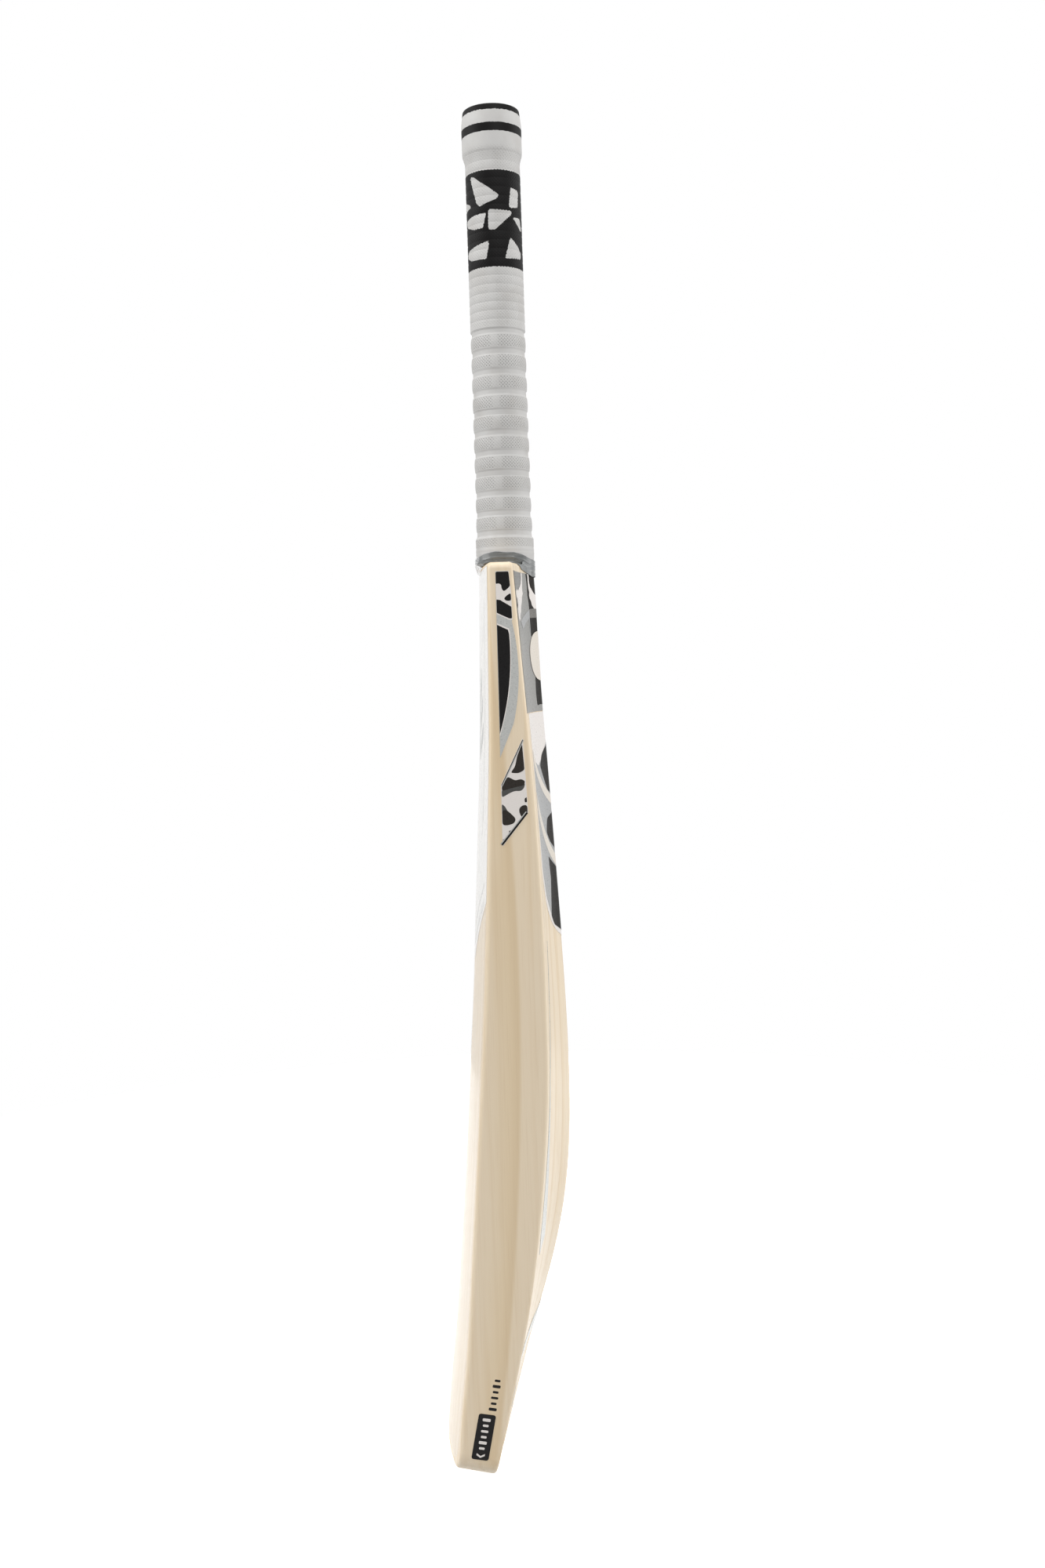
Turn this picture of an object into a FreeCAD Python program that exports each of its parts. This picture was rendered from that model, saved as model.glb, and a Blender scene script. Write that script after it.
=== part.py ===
"""Cricket bat, a parametric FreeCAD document written out as one STEP file per piece.

Frame: millimetres, +Z up. The origin is the centre of the handle's top end. The handle's axis is Z
and the blade hangs below it. X runs across the blade, -Y looks out of the hitting face and +Y out
of the ridged back.
"""
import FreeCAD, Part
import os
import Sketcher

Vector = FreeCAD.Vector
doc = FreeCAD.newDocument("cricket_bat")

# ---------------------------------------------------------------- driving dimensions
sheet = doc.addObject("Spreadsheet::Sheet", "dimensions")
sheet_rows = 0


def dimension(alias, size):
    """Put one driving dimension in the sheet and give it its alias."""
    global sheet_rows
    sheet_rows += 1
    sheet.set("A%d" % sheet_rows, alias)
    sheet.set("B%d" % sheet_rows, str(size))
    sheet.setAlias("B%d" % sheet_rows, alias)


# Blade, seen from the front, and how its edges are rounded.
dimension("blade_width", 108.0)
dimension("shoulder_height", -278.2)
dimension("shoulder_drop", 0.7)
dimension("shoulder_corner", 4.0)
dimension("toe_height", -859.3)
dimension("toe_sag", 3.0)
dimension("toe_corner", 15.0)
dimension("toe_tilt", 14.0)
dimension("rim_round", 2.5)

# The ridge along the back and the hollow of the two flanks, as a share of the ridge's rise.
dimension("ridge_round", 12.0)
dimension("flank_hollow", 0.15)

# Stations down the blade: height, face corner, crown of the face, edge thickness and rise of the
# ridge over the edge. The first two and the last two lie beyond its cut ends and only steady the loft.
STATIONS = {
    "stub": (-225.0, -13.6, 1.3, 10.6, 19.0),
    "neck": (-262.0, -14.0, 1.3, 13.3, 18.4),
    "throat": (-300.0, -14.45, 1.5, 16.3, 17.8),
    "chest": (-340.0, -15.3, 2.1, 19.8, 16.1),
    "upper": (-420.0, -17.9, 3.1, 27.7, 14.6),
    "middle": (-500.0, -21.9, 4.1, 34.6, 16.0),
    "swell_top": (-560.0, -25.6, 4.3, 38.9, 18.3),
    "swell": (-610.0, -29.6, 4.2, 41.6, 20.9),
    "swell_foot": (-655.0, -33.2, 4.1, 41.5, 23.5),
    "taper_top": (-700.0, -37.0, 4.2, 40.1, 22.2),
    "taper": (-750.0, -41.1, 4.7, 35.9, 15.9),
    "taper_foot": (-800.0, -46.6, 5.0, 30.2, 11.5),
    "toe_top": (-832.0, -50.2, 5.0, 26.1, 10.3),
    "tail": (-862.0, -53.3, 5.0, 21.8, 9.8),
    "stump": (-892.0, -56.4, 5.0, 17.5, 9.4),
}
for station, (height, face, crown, edge, rise) in STATIONS.items():
    dimension(station + "_height", height)
    dimension(station + "_face", face)
    dimension(station + "_crown", crown)
    dimension(station + "_edge", edge)
    dimension(station + "_rise", rise)

# Handle: a round cane spring handle whose lower end is a V wedge let into the blade.
dimension("handle_radius", 14.8)
dimension("splice_height", -400.0)
dimension("splice_half_width", 15.0)
dimension("splice_tip_half_width", 1.2)
dimension("cane_half_width", 4.9)
dimension("strip_spacing", 7.4)
dimension("strip_thickness", 1.6)
dimension("handle_overlap", 0.5)
dimension("slab_margin", 10.0)

# Twine binding and rubber grip, each with a little air inside it.
dimension("fit_gap", 0.1)
dimension("twine_thickness", 0.6)
dimension("twine_top", -4.0)
dimension("twine_foot", -276.0)
dimension("grip_top_radius", 17.25)
dimension("grip_lip_round", 0.8)
dimension("grip_lip_height", -6.0)
dimension("collar_radius", 18.6)
dimension("collar_top", -9.0)
dimension("collar_foot", -26.0)
dimension("grip_barrel_top", -30.5)
dimension("grip_barrel_radius", 17.0)
dimension("grip_waist_height", -128.0)
dimension("grip_waist_radius", 17.1)
dimension("grip_flare_height", -242.0)
dimension("grip_flare_radius", 17.5)
dimension("foot_radius", 18.35)
dimension("foot_top", -262.0)
dimension("foot_round_height", -268.0)
dimension("grip_foot_radius", 17.7)
dimension("grip_foot_top", -272.0)
dimension("grip_foot", -276.4)

# Ring grooves moulded round the lower half of the grip.
dimension("groove_count", 11)
dimension("groove_pitch", 12.35)
dimension("groove_height", 3.4)
dimension("groove_depth", 0.9)
dimension("first_groove_foot", -136.8)

# Vinyl tape round the foot of the grip, with its loose end hanging over the back.
dimension("tape_radius", 18.3)
dimension("tape_inner_radius", 15.7)
dimension("tape_top", -272.1)
dimension("tape_foot", -278.0)
dimension("tape_tail_foot", -285.0)
dimension("tape_tail_angle", 70.0)

# Labels are printed vinyl sheets; the clear film lies outside them.
dimension("label_thickness", 0.25)
dimension("film_thickness", 0.2)
dimension("label_half_width", 51.0)
dimension("back_print_half_width", 42.0)
dimension("label_top", -284.0)
dimension("face_label_top", -281.3)
dimension("back_label_foot", -370.0)
dimension("label_gap", 0.5)
dimension("back_print_side_foot", -465.0)
dimension("back_print_tip", -516.0)
dimension("face_label_side_foot", -484.0)
dimension("face_label_tip", -528.0)
dimension("film_half_width", 51.4)
dimension("film_top", -281.0)
dimension("film_side_foot", -824.0)
dimension("film_foot", -839.0)
dimension("film_corner", 15.0)
dimension("chevron_tip", -755.0)
dimension("chevron_side_top", -791.0)
dimension("chevron_height", 12.0)
dimension("toe_label_length", 29.5)
dimension("toe_label_width", 10.8)
dimension("toe_label_lean", -11.5)
dimension("toe_label_across", -34.9)
dimension("toe_label_height", -820.0)
dimension("toe_label_round", 1.5)
dimension("back_print_bow", -8.0)
dimension("edge_label_bow", 3.5)

# Corners of the printed sheets: how far across the surface and how high.
SHEET_CORNERS = {
    "stripe_top": (38.0, -512.0),
    "stripe_outer_bend": (44.8, -600.0),
    "stripe_outer_foot": (44.8, -696.0),
    "stripe_tip": (40.0, -711.0),
    "stripe_inner_foot": (31.0, -702.0),
    "stripe_inner_hook": (36.5, -660.0),
    "stripe_inner_bend": (43.6, -600.0),
    "edge_label_face_top": (-9.7, -284.5),
    "edge_label_tip": (-10.4, -396.0),
    "edge_label_hip": (-1.7, -376.0),
    "edge_label_waist": (-0.6, -315.0),
    "edge_label_back_top": (-1.6, -284.5),
    "patch_back_top": (3.5, -384.5),
    "patch_face_top": (-10.5, -412.5),
    "patch_face_foot": (-10.8, -450.0),
    "patch_back_foot": (5.5, -430.0),
}
for corner, (across, height) in SHEET_CORNERS.items():
    dimension(corner + "_across", across)
    dimension(corner + "_height", height)
doc.recompute()


def bind(thing, prop, expression):
    """Bind a property to an expression over the sheet's aliases, each written with a leading $."""
    thing.setExpression(prop, expression.replace("$", "dimensions."))


def number(expression):
    """The value of such an expression."""
    return float(sheet.evalExpression(expression.replace("$", "dimensions.")))


# ---------------------------------------------------------------- sketches and bodies
def new_body(name):
    """A PartDesign body whose label is the name of the piece."""
    return doc.addObject("PartDesign::Body", name)


def new_sketch(body, name, role, offset="0"):
    """A sketch on one of the body's own origin planes, moved along that plane's normal."""
    sketch = body.newObject("Sketcher::SketchObject", name)
    plane = next(feature for feature in body.Origin.OriginFeatures if feature.Role == role)
    sketch.AttachmentSupport = (plane, "")
    sketch.MapMode = "FlatFace"
    bind(sketch, "AttachmentOffset.Base.z", offset)
    return sketch


def end_at(sketch, run, spot):
    """Which end of a run of a sketch lies at a spot: 1 its start or 2 its end."""
    return 1 if sketch.getPoint(run, 1).distanceToPoint(spot) < 1e-3 else 2


def draw_outline(sketch, corners):
    """Draw a closed outline whose corners and bows are held by expressions.

    Each corner is its x, its y and how far the run to the next corner bows out to the right of its
    straight line, or None where that run is straight.
    """
    spots = [Vector(number(x), number(y), 0) for x, y, bow in corners]
    count = len(corners)
    for i, (x, y, bow) in enumerate(corners):
        start = spots[i]
        end = spots[(i + 1) % count]
        run = Part.LineSegment(start, end)
        if bow is not None:
            chord = end - start
            outward = Vector(chord.y, -chord.x, 0).normalize()
            run = Part.Arc(start, (start + end) / 2 + outward * number(bow), end)
        sketch.addGeometry(run)
    for i, (x, y, bow) in enumerate(corners):
        before = (i - 1) % count
        here = end_at(sketch, i, spots[i])
        there = end_at(sketch, before, spots[i])
        sketch.addConstraint(Sketcher.Constraint("Coincident", before, there, i, here))
        for kind, reach, expression in (("DistanceX", spots[i].x, x), ("DistanceY", spots[i].y, y)):
            held = sketch.addConstraint(Sketcher.Constraint(kind, -1, 1, i, here, reach))
            bind(sketch, "Constraints[%d]" % held, expression)
        if bow is not None:
            next_x, next_y, unused_bow = corners[(i + 1) % count]
            chord_squared = "(((%s) - (%s))^2 + ((%s) - (%s))^2)" % (next_x, x, next_y, y)
            radius = "%s / (8 * abs(%s)) + abs(%s) / 2" % (chord_squared, bow, bow)
            held = sketch.addConstraint(Sketcher.Constraint("Radius", i, number(radius)))
            bind(sketch, "Constraints[%d]" % held, radius)


def corner_of(name, bow=None):
    """A named corner of a printed sheet, as an outline's corner."""
    return ("$%s_across" % name, "$%s_height" % name, bow)


def pad(body, sketch, length, reversed_way=False, both_ways=False):
    """Pad a sketch of the body by an expression."""
    feature = body.newObject("PartDesign::Pad", body.Name + "_pad")
    feature.Profile = (sketch, [""])
    feature.Reversed = reversed_way
    feature.Midplane = both_ways
    bind(feature, "Length", length)
    return feature


def edges_where(shape, test):
    """Names of the edges of a shape that pass a test."""
    return ["Edge%d" % (i + 1) for i, edge in enumerate(shape.Edges) if test(edge)]


def round_edges(body, name, radius, names_of):
    """Round those edges of the body's tip that names_of picks from its shape."""
    doc.recompute()
    base = body.Tip
    rounding = body.newObject("PartDesign::Fillet", name)
    rounding.Base = (base, names_of(base.Shape))
    bind(rounding, "Radius", radius)


def boolean(kind, name, base, tool):
    """A Part::Cut, Part::Common or Part::Fuse of two objects."""
    result = doc.addObject("Part::" + kind, name)
    result.Base = base
    result.Tool = tool
    return result


# ---------------------------------------------------------------- blade blank
def blade_section(body, station, extra):
    """One cross-section of the blade: crowned face, flat edges and two hollow flanks."""
    sketch = new_sketch(body, body.Name + "_" + station, "XY_Plane", "$%s_height" % station)
    side = "($blade_width / 2 + %s)" % extra
    face = "($%s_face - %s)" % (station, extra)
    back = "($%s_face + $%s_edge + %s)" % (station, station, extra)
    ridge = "(%s + $%s_rise)" % (back, station)
    hollow = "-$%s_rise * $flank_hollow" % station
    draw_outline(sketch, [
        ("-" + side, face, "$%s_crown" % station),
        (side, face, None),
        (side, back, hollow),
        ("0", ridge, hollow),
        ("-" + side, back, None),
    ])
    return sketch


def blade_loft(name, extra):
    """The blade before its ends are cut, its surfaces standing extra outside the wood."""
    body = new_body(name)
    sections = [blade_section(body, station, extra) for station in STATIONS]
    loft = body.newObject("PartDesign::AdditiveLoft", name + "_loft")
    loft.Profile = (sections[0], [""])
    loft.Sections = [(section, [""]) for section in sections[1:]]
    round_edges(body, name + "_ridge", "$ridge_round + " + extra,
                lambda shape: edges_where(shape, on_ridge))
    return body


def on_ridge(edge):
    """Whether an edge is the sharp ridge of the back."""
    box = edge.BoundBox
    return box.ZLength > number("$blade_width") and abs(box.Center.x) < 1


def on_edge_above(height):
    """A test for the short edges that cross the blade's two flat edges above a height."""
    half_width = number("$blade_width / 2")

    def test(edge):
        box = edge.BoundBox
        crosses = box.ZLength < 10 and box.YLength > 10 and box.XLength < 0.1
        return crosses and abs(abs(box.Center.x) - half_width) < 0.1 and box.ZMin > height
    return test


def end_cut(body, name, corners, height, tilt):
    """Cut an end of the blade to an outline drawn from the front and tilted about X."""
    sketch = new_sketch(body, name + "_outline", "XZ_Plane")
    sketch.AttachmentOffset.Rotation = FreeCAD.Rotation(Vector(1, 0, 0), number(tilt))
    bind(sketch, "AttachmentOffset.Base.y", height)
    bind(sketch, "AttachmentOffset.Rotation.Angle", tilt)
    draw_outline(sketch, corners)
    cut = body.newObject("PartDesign::Pocket", name + "_cut")
    cut.Profile = (sketch, [""])
    cut.Type = "ThroughAll"
    cut.Midplane = True


def rim_edges(shape):
    """Names of the edges that run round the hitting face and round the whole back."""
    broad = [face for face in shape.Faces
             if face.BoundBox.ZLength > number("$blade_width") and face.BoundBox.XLength > 1]

    def on_rim(edge):
        return sum(any(edge.isSame(other) for other in face.Edges) for face in broad) == 1
    return edges_where(shape, on_rim)


blank = blade_loft("blade_blank", "0")
end_cut(blank, "toe", [
    ("-$blade_width", "-$blade_width", None),
    ("$blade_width", "-$blade_width", None),
    ("$blade_width", "$toe_sag * 4", "-$toe_sag * 4"),
    ("-$blade_width", "$toe_sag * 4", None),
], "$toe_height", "-$toe_tilt")
end_cut(blank, "shoulder", [
    ("-$blade_width", "$blade_width", None),
    ("-$blade_width", "-$shoulder_drop * 4", "-$shoulder_drop * 4"),
    ("$blade_width", "-$shoulder_drop * 4", None),
    ("$blade_width", "$blade_width", None),
], "$shoulder_height", "0")
across_shoulder = on_edge_above(number("$chest_height"))
across_an_end = on_edge_above(number("$stump_height"))
round_edges(blank, "shoulder_corners", "$shoulder_corner",
            lambda shape: edges_where(shape, across_shoulder))
round_edges(blank, "toe_corners", "$toe_corner",
            lambda shape: edges_where(shape, lambda edge: across_an_end(edge)
                                      and edge.BoundBox.ZMax < number("$taper_foot_height")))
round_edges(blank, "rim", "$rim_round", rim_edges)
doc.recompute()

# ---------------------------------------------------------------- splice, blade and handle
splice = new_body("splice_prism")
splice_sketch = new_sketch(splice, "splice_outline", "XZ_Plane")
splice_slope = "($splice_half_width - $splice_tip_half_width) / ($shoulder_height - $splice_height)"
splice_top = "($splice_half_width + %s * ($neck_height - $shoulder_height))" % splice_slope
draw_outline(splice_sketch, [
    ("-" + splice_top, "$neck_height", None),
    ("-$splice_tip_half_width", "$splice_height", None),
    ("$splice_tip_half_width", "$splice_height", None),
    (splice_top, "$neck_height", None),
])
pad(splice, splice_sketch, "$blade_width", both_ways=True)

blade = boolean("Cut", "blade", blank, splice)
wedge = boolean("Common", "handle_wedge", blank, splice)
round_handle = doc.addObject("Part::Cylinder", "round_handle")
bind(round_handle, "Radius", "$handle_radius")
bind(round_handle, "Height", "$handle_overlap - $shoulder_height")
bind(round_handle, "Placement.Base.z", "$shoulder_height - $handle_overlap")
handle = boolean("Fuse", "handle_blank", round_handle, wedge)


def slab(name, low_x, high_x, low_y, high_y):
    """A box through the whole handle between two x and two y expressions."""
    box = doc.addObject("Part::Box", name)
    bind(box, "Length", "(%s) - (%s)" % (high_x, low_x))
    bind(box, "Width", "(%s) - (%s)" % (high_y, low_y))
    bind(box, "Height", "2 * $slab_margin - $splice_height")
    bind(box, "Placement.Base.x", low_x)
    bind(box, "Placement.Base.y", low_y)
    bind(box, "Placement.Base.z", "$splice_height - $slab_margin")
    return box


pieces = [blade]
outside = "$blade_width / 2"
column_bounds = ["-" + outside, "-$cane_half_width", "$cane_half_width", outside]
strip_centres = ["-$strip_spacing", "0", "$strip_spacing"]
row_lows = ["-" + outside] + [centre + " + $strip_thickness / 2" for centre in strip_centres]
row_highs = [centre + " - $strip_thickness / 2" for centre in strip_centres] + [outside]
for row, low_y, high_y in zip("abcd", row_lows, row_highs):
    for column in range(3):
        name = "cane_%s%d" % (row, column + 1)
        bounds = (column_bounds[column], column_bounds[column + 1], low_y, high_y)
        pieces.append(boolean("Common", name, handle, slab(name + "_slab", *bounds)))
for i, centre in enumerate(strip_centres):
    name = "spring_strip_%d" % (i + 1)
    low_y = centre + " - $strip_thickness / 2"
    high_y = centre + " + $strip_thickness / 2"
    pieces.append(boolean("Common", name, handle,
                          slab(name + "_slab", "-" + outside, outside, low_y, high_y)))


# ---------------------------------------------------------------- turned sleeves
def turned(name, corners, angle="360"):
    """A body turned about the handle's axis from a radius and height outline."""
    body = new_body(name)
    sketch = new_sketch(body, name + "_profile", "XZ_Plane")
    draw_outline(sketch, corners)
    turning = body.newObject("PartDesign::Revolution", name + "_turning")
    turning.Profile = (sketch, [""])
    turning.ReferenceAxis = (sketch, ["V_Axis"])
    turning.Midplane = True
    bind(turning, "Angle", angle)
    return body


def ring(name, inner, outer, foot, top, angle="360"):
    """A plain ring of rectangular section."""
    return turned(name, [(inner, foot, None), (outer, foot, None), (outer, top, None),
                         (inner, top, None)], angle)


twine_bore = "$handle_radius + $fit_gap"
twine_outside = twine_bore + " + $twine_thickness"
grip_bore = twine_outside + " + $fit_gap"
pieces.append(ring("twine_binding", twine_bore, twine_outside, "$twine_foot", "$twine_top"))

grip = turned("rubber_grip", [
    ("$handle_radius + $fit_gap", "0", None),
    ("$handle_radius + $fit_gap", "$twine_top + $fit_gap", None),
    (grip_bore, "$twine_top + $fit_gap", None),
    (grip_bore, "$grip_foot", None),
    ("$grip_foot_radius", "$grip_foot", None),
    ("$grip_foot_radius", "$grip_foot_top", None),
    ("$foot_radius", "$foot_round_height", None),
    ("$foot_radius", "$foot_top", None),
    ("$grip_flare_radius", "$grip_flare_height", None),
    ("$grip_waist_radius", "$grip_waist_height", None),
    ("$grip_barrel_radius", "$grip_barrel_top", None),
    ("$collar_radius", "$collar_foot", None),
    ("$collar_radius", "$collar_top", None),
    ("$grip_top_radius", "$grip_lip_height", None),
    ("$grip_top_radius", "-$grip_lip_round", "$grip_lip_round * 0.293"),
    ("$grip_top_radius - $grip_lip_round", "0", None),
])
doc.recompute()
grip_before_grooves = grip.Shape.Volume
groove_profile = new_sketch(grip, "groove_profile", "XZ_Plane")
groove_floor = "$grip_waist_radius - $groove_depth"
draw_outline(groove_profile, [
    (groove_floor, "$first_groove_foot", None),
    ("$collar_radius + 1", "$first_groove_foot", None),
    ("$collar_radius + 1", "$first_groove_foot + $groove_height", None),
    (groove_floor, "$first_groove_foot + $groove_height", None),
])
first_groove = grip.newObject("PartDesign::Groove", "first_groove")
first_groove.Profile = (groove_profile, [""])
first_groove.ReferenceAxis = (groove_profile, ["V_Axis"])
first_groove.Angle = 360
doc.recompute()
grooves = grip.newObject("PartDesign::LinearPattern", "grooves")
grooves.Originals = [first_groove]
grooves.Direction = (groove_profile, ["V_Axis"])
grooves.Reversed = True
bind(grooves, "Length", "$groove_pitch * ($groove_count - 1)")
bind(grooves, "Occurrences", "$groove_count")
grip.Tip = grooves
doc.recompute()
groove_volume = grip_before_grooves - grip.Shape.Volume
least_groove = number("2 * pi * (%s) * $groove_height * $groove_depth" % groove_floor)
if groove_volume < least_groove * number("$groove_count"):
    raise RuntimeError("the ring grooves cut only %.0f mm3" % groove_volume)
pieces.append(grip)

tape_bore = "$grip_foot_radius + $fit_gap"
tape_turns = turned("tape_turns", [
    ("$tape_inner_radius", "$tape_foot", None),
    ("$tape_radius", "$tape_foot", None),
    ("$tape_radius", "$tape_top", None),
    (tape_bore, "$tape_top", None),
    (tape_bore, "$grip_foot - $fit_gap", None),
    ("$tape_inner_radius", "$grip_foot - $fit_gap", None),
])
tape_tail = ring("tape_tail", tape_bore, "$tape_radius", "$tape_tail_foot", "$tape_top",
                 "$tape_tail_angle")
tape_tail.Placement = FreeCAD.Placement(Vector(), FreeCAD.Rotation(Vector(0, 0, 1), 90))
pieces.append(boolean("Fuse", "shoulder_tape", tape_turns, tape_tail))

# ---------------------------------------------------------------- labels and film
label_outer = blade_loft("label_outer", "$label_thickness")
film_outer = blade_loft("film_outer", "($label_thickness + $film_thickness)")
label_shell = boolean("Cut", "label_shell", label_outer, blank)
film_shell = boolean("Cut", "film_shell", film_outer, label_outer)

# Everything on the face's side of a plane that stays inside the wood all the way down.
face_side = new_body("face_side")
face_side_sketch = new_sketch(face_side, "face_side_outline", "YZ_Plane")
draw_outline(face_side_sketch, [
    ("-$blade_width", "$neck_height", None),
    ("-$blade_width", "$tail_height", None),
    ("$tail_face + $tail_edge / 2", "$tail_height", None),
    ("$neck_face + $neck_edge", "$neck_height", None),
])
pad(face_side, face_side_sketch, "$blade_width * 2", both_ways=True)
label_on_face = boolean("Common", "label_on_face", label_shell, face_side)
label_on_back = boolean("Cut", "label_on_back", label_shell, face_side)
film_on_face = boolean("Common", "film_on_face", film_shell, face_side)


def sheet_on_blade(name, shell, corners):
    """A thin sheet that follows the blade, cut to an outline drawn from the front."""
    cutter = new_body(name + "_cutter")
    sketch = new_sketch(cutter, name + "_outline", "XZ_Plane")
    draw_outline(sketch, corners)
    pad(cutter, sketch, "$blade_width * 2", both_ways=True)
    return boolean("Common", name, shell, cutter)


def mirrored(corners):
    """Close the right half of an outline, given from top to bottom, with its mirror image."""
    outline = list(corners)
    for i in range(len(corners) - 1, -1, -1):
        x, y, unused_bow = corners[i]
        bow = corners[i - 1][2] if i else None
        if x != "0":
            outline.append(("-(%s)" % x, y, bow))
    return outline


def on_left(corners):
    """The mirror image of a whole outline, in reverse order so that it runs the same way round."""
    count = len(corners)
    image = []
    for i in range(count - 1, -1, -1):
        x, y, unused_bow = corners[i]
        image.append(("-(%s)" % x, y, corners[(i - 1) % count][2]))
    return image


pieces.append(sheet_on_blade("face_label", label_on_face, mirrored([
    ("$label_half_width", "$face_label_top", None),
    ("$label_half_width", "$face_label_side_foot", None),
    ("0", "$face_label_tip", None),
])))
pieces.append(sheet_on_blade("back_label_upper", label_on_back, mirrored([
    ("$label_half_width", "$label_top", None),
    ("$label_half_width", "$back_label_foot", None),
])))
pieces.append(sheet_on_blade("back_label_lower", label_on_back, mirrored([
    ("$back_print_half_width", "$back_label_foot - $label_gap", None),
    ("$back_print_half_width", "$back_print_side_foot", "$back_print_bow"),
    ("0", "$back_print_tip", None),
])))
pieces.append(sheet_on_blade("back_chevron", label_on_back, mirrored([
    ("0", "$chevron_tip", None),
    ("$label_half_width", "$chevron_side_top", None),
    ("$label_half_width", "$chevron_side_top - $chevron_height", None),
    ("0", "$chevron_tip - $chevron_height", None),
])))
stripe = [
    corner_of("stripe_top"),
    corner_of("stripe_outer_bend"),
    corner_of("stripe_outer_foot"),
    corner_of("stripe_tip"),
    corner_of("stripe_inner_foot"),
    corner_of("stripe_inner_hook"),
    corner_of("stripe_inner_bend"),
]
pieces.append(sheet_on_blade("back_stripe_right", label_on_back, stripe))
pieces.append(sheet_on_blade("back_stripe_left", label_on_back, on_left(stripe)))
pieces.append(sheet_on_blade("face_film", film_on_face, mirrored([
    ("$film_half_width", "$film_top", None),
    ("$film_half_width", "$film_side_foot", "-$film_corner * 0.293"),
    ("$film_half_width - $film_corner", "$film_foot", None),
])))


def edge_label(name, corners, right):
    """A printed sheet on one of the blade's flat edges, drawn in Y and Z."""
    body = new_body(name)
    offset = "$blade_width / 2" if right else "-$blade_width / 2"
    sketch = new_sketch(body, name + "_outline", "YZ_Plane", offset)
    draw_outline(sketch, corners)
    pad(body, sketch, "$label_thickness", reversed_way=not right)
    return body


def toe_label_corner(along, across):
    """A corner of the leaning toe label, counted in half lengths and half widths from its middle."""
    y = "$toe_label_across + (%d) * $toe_label_width / 2 * cos($toe_label_lean * 1 deg)" % across
    y += " - (%d) * $toe_label_length / 2 * sin($toe_label_lean * 1 deg)" % along
    z = "$toe_label_height + (%d) * $toe_label_length / 2 * cos($toe_label_lean * 1 deg)" % along
    z += " + (%d) * $toe_label_width / 2 * sin($toe_label_lean * 1 deg)" % across
    return (y, z, None)


edge_label_shape = [
    corner_of("edge_label_face_top"),
    corner_of("edge_label_tip"),
    corner_of("edge_label_hip", "$edge_label_bow"),
    corner_of("edge_label_waist"),
    corner_of("edge_label_back_top"),
]
patch_shape = [
    corner_of("patch_back_top"),
    corner_of("patch_face_top"),
    corner_of("patch_face_foot"),
    corner_of("patch_back_foot"),
]
toe_shape = [toe_label_corner(*corner) for corner in ((1, -1), (-1, -1), (-1, 1), (1, 1))]
for side, right in (("right", True), ("left", False)):
    pieces.append(edge_label("edge_label_" + side, edge_label_shape, right))
    pieces.append(edge_label("edge_patch_" + side, patch_shape, right))
    toe_label = edge_label("toe_label_" + side, toe_shape, right)
    round_edges(toe_label, toe_label.Name + "_corners", "$toe_label_round",
                lambda shape: edges_where(shape, lambda edge: edge.BoundBox.XLength > 0.1))
    pieces.append(toe_label)

# ---------------------------------------------------------------- check and write
doc.recompute()
for thing in doc.Objects:
    if "Invalid" in thing.State or "Error" in thing.State:
        raise RuntimeError("%s did not compute: %s" % (thing.Name, thing.State))
for piece in pieces:
    if piece.Shape.isNull() or not piece.Shape.isValid() or not piece.Shape.Solids:
        raise RuntimeError("%s has no valid solid" % piece.Label)
os.makedirs("parts", exist_ok=True)
for piece in pieces:
    piece.Shape.exportStep(os.path.join("parts", piece.Label + ".step"))
    print("%-20s solids %d, volume %.1f mm3" % (piece.Label, len(piece.Shape.Solids), piece.Shape.Volume))
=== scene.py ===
"""The looks of a cricket bat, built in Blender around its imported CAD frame.

The frame is the part's own: X across the blade, -Y out of its face, +Z up the handle, whose top
end is at the origin. Blender works in metres. Sizes on the bat are in millimetres, as on the part,
and are multiplied by MM where they meet Blender. The willow's trunk, the studio and the camera are
placed in metres, and a noise's scale counts its cells to the metre.
"""

import math

import bpy
import numpy as np
from mathutils import Matrix, Vector
from mathutils.bvhtree import BVHTree
from mathutils.geometry import delaunay_2d_cdt


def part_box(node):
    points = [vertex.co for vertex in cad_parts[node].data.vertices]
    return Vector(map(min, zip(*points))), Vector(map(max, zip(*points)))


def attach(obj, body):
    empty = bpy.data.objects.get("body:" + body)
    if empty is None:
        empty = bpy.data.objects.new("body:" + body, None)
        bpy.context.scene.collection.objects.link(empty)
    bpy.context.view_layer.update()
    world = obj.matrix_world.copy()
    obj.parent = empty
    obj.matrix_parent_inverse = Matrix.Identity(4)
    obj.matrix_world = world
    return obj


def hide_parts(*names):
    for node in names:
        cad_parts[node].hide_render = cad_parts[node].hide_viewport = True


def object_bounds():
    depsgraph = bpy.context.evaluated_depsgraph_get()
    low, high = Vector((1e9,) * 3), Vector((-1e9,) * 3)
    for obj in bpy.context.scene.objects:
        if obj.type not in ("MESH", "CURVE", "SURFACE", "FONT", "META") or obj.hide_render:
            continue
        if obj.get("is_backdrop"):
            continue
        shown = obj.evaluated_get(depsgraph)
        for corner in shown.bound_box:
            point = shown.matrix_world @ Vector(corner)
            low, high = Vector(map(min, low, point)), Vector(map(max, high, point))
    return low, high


MM = 0.001

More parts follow.
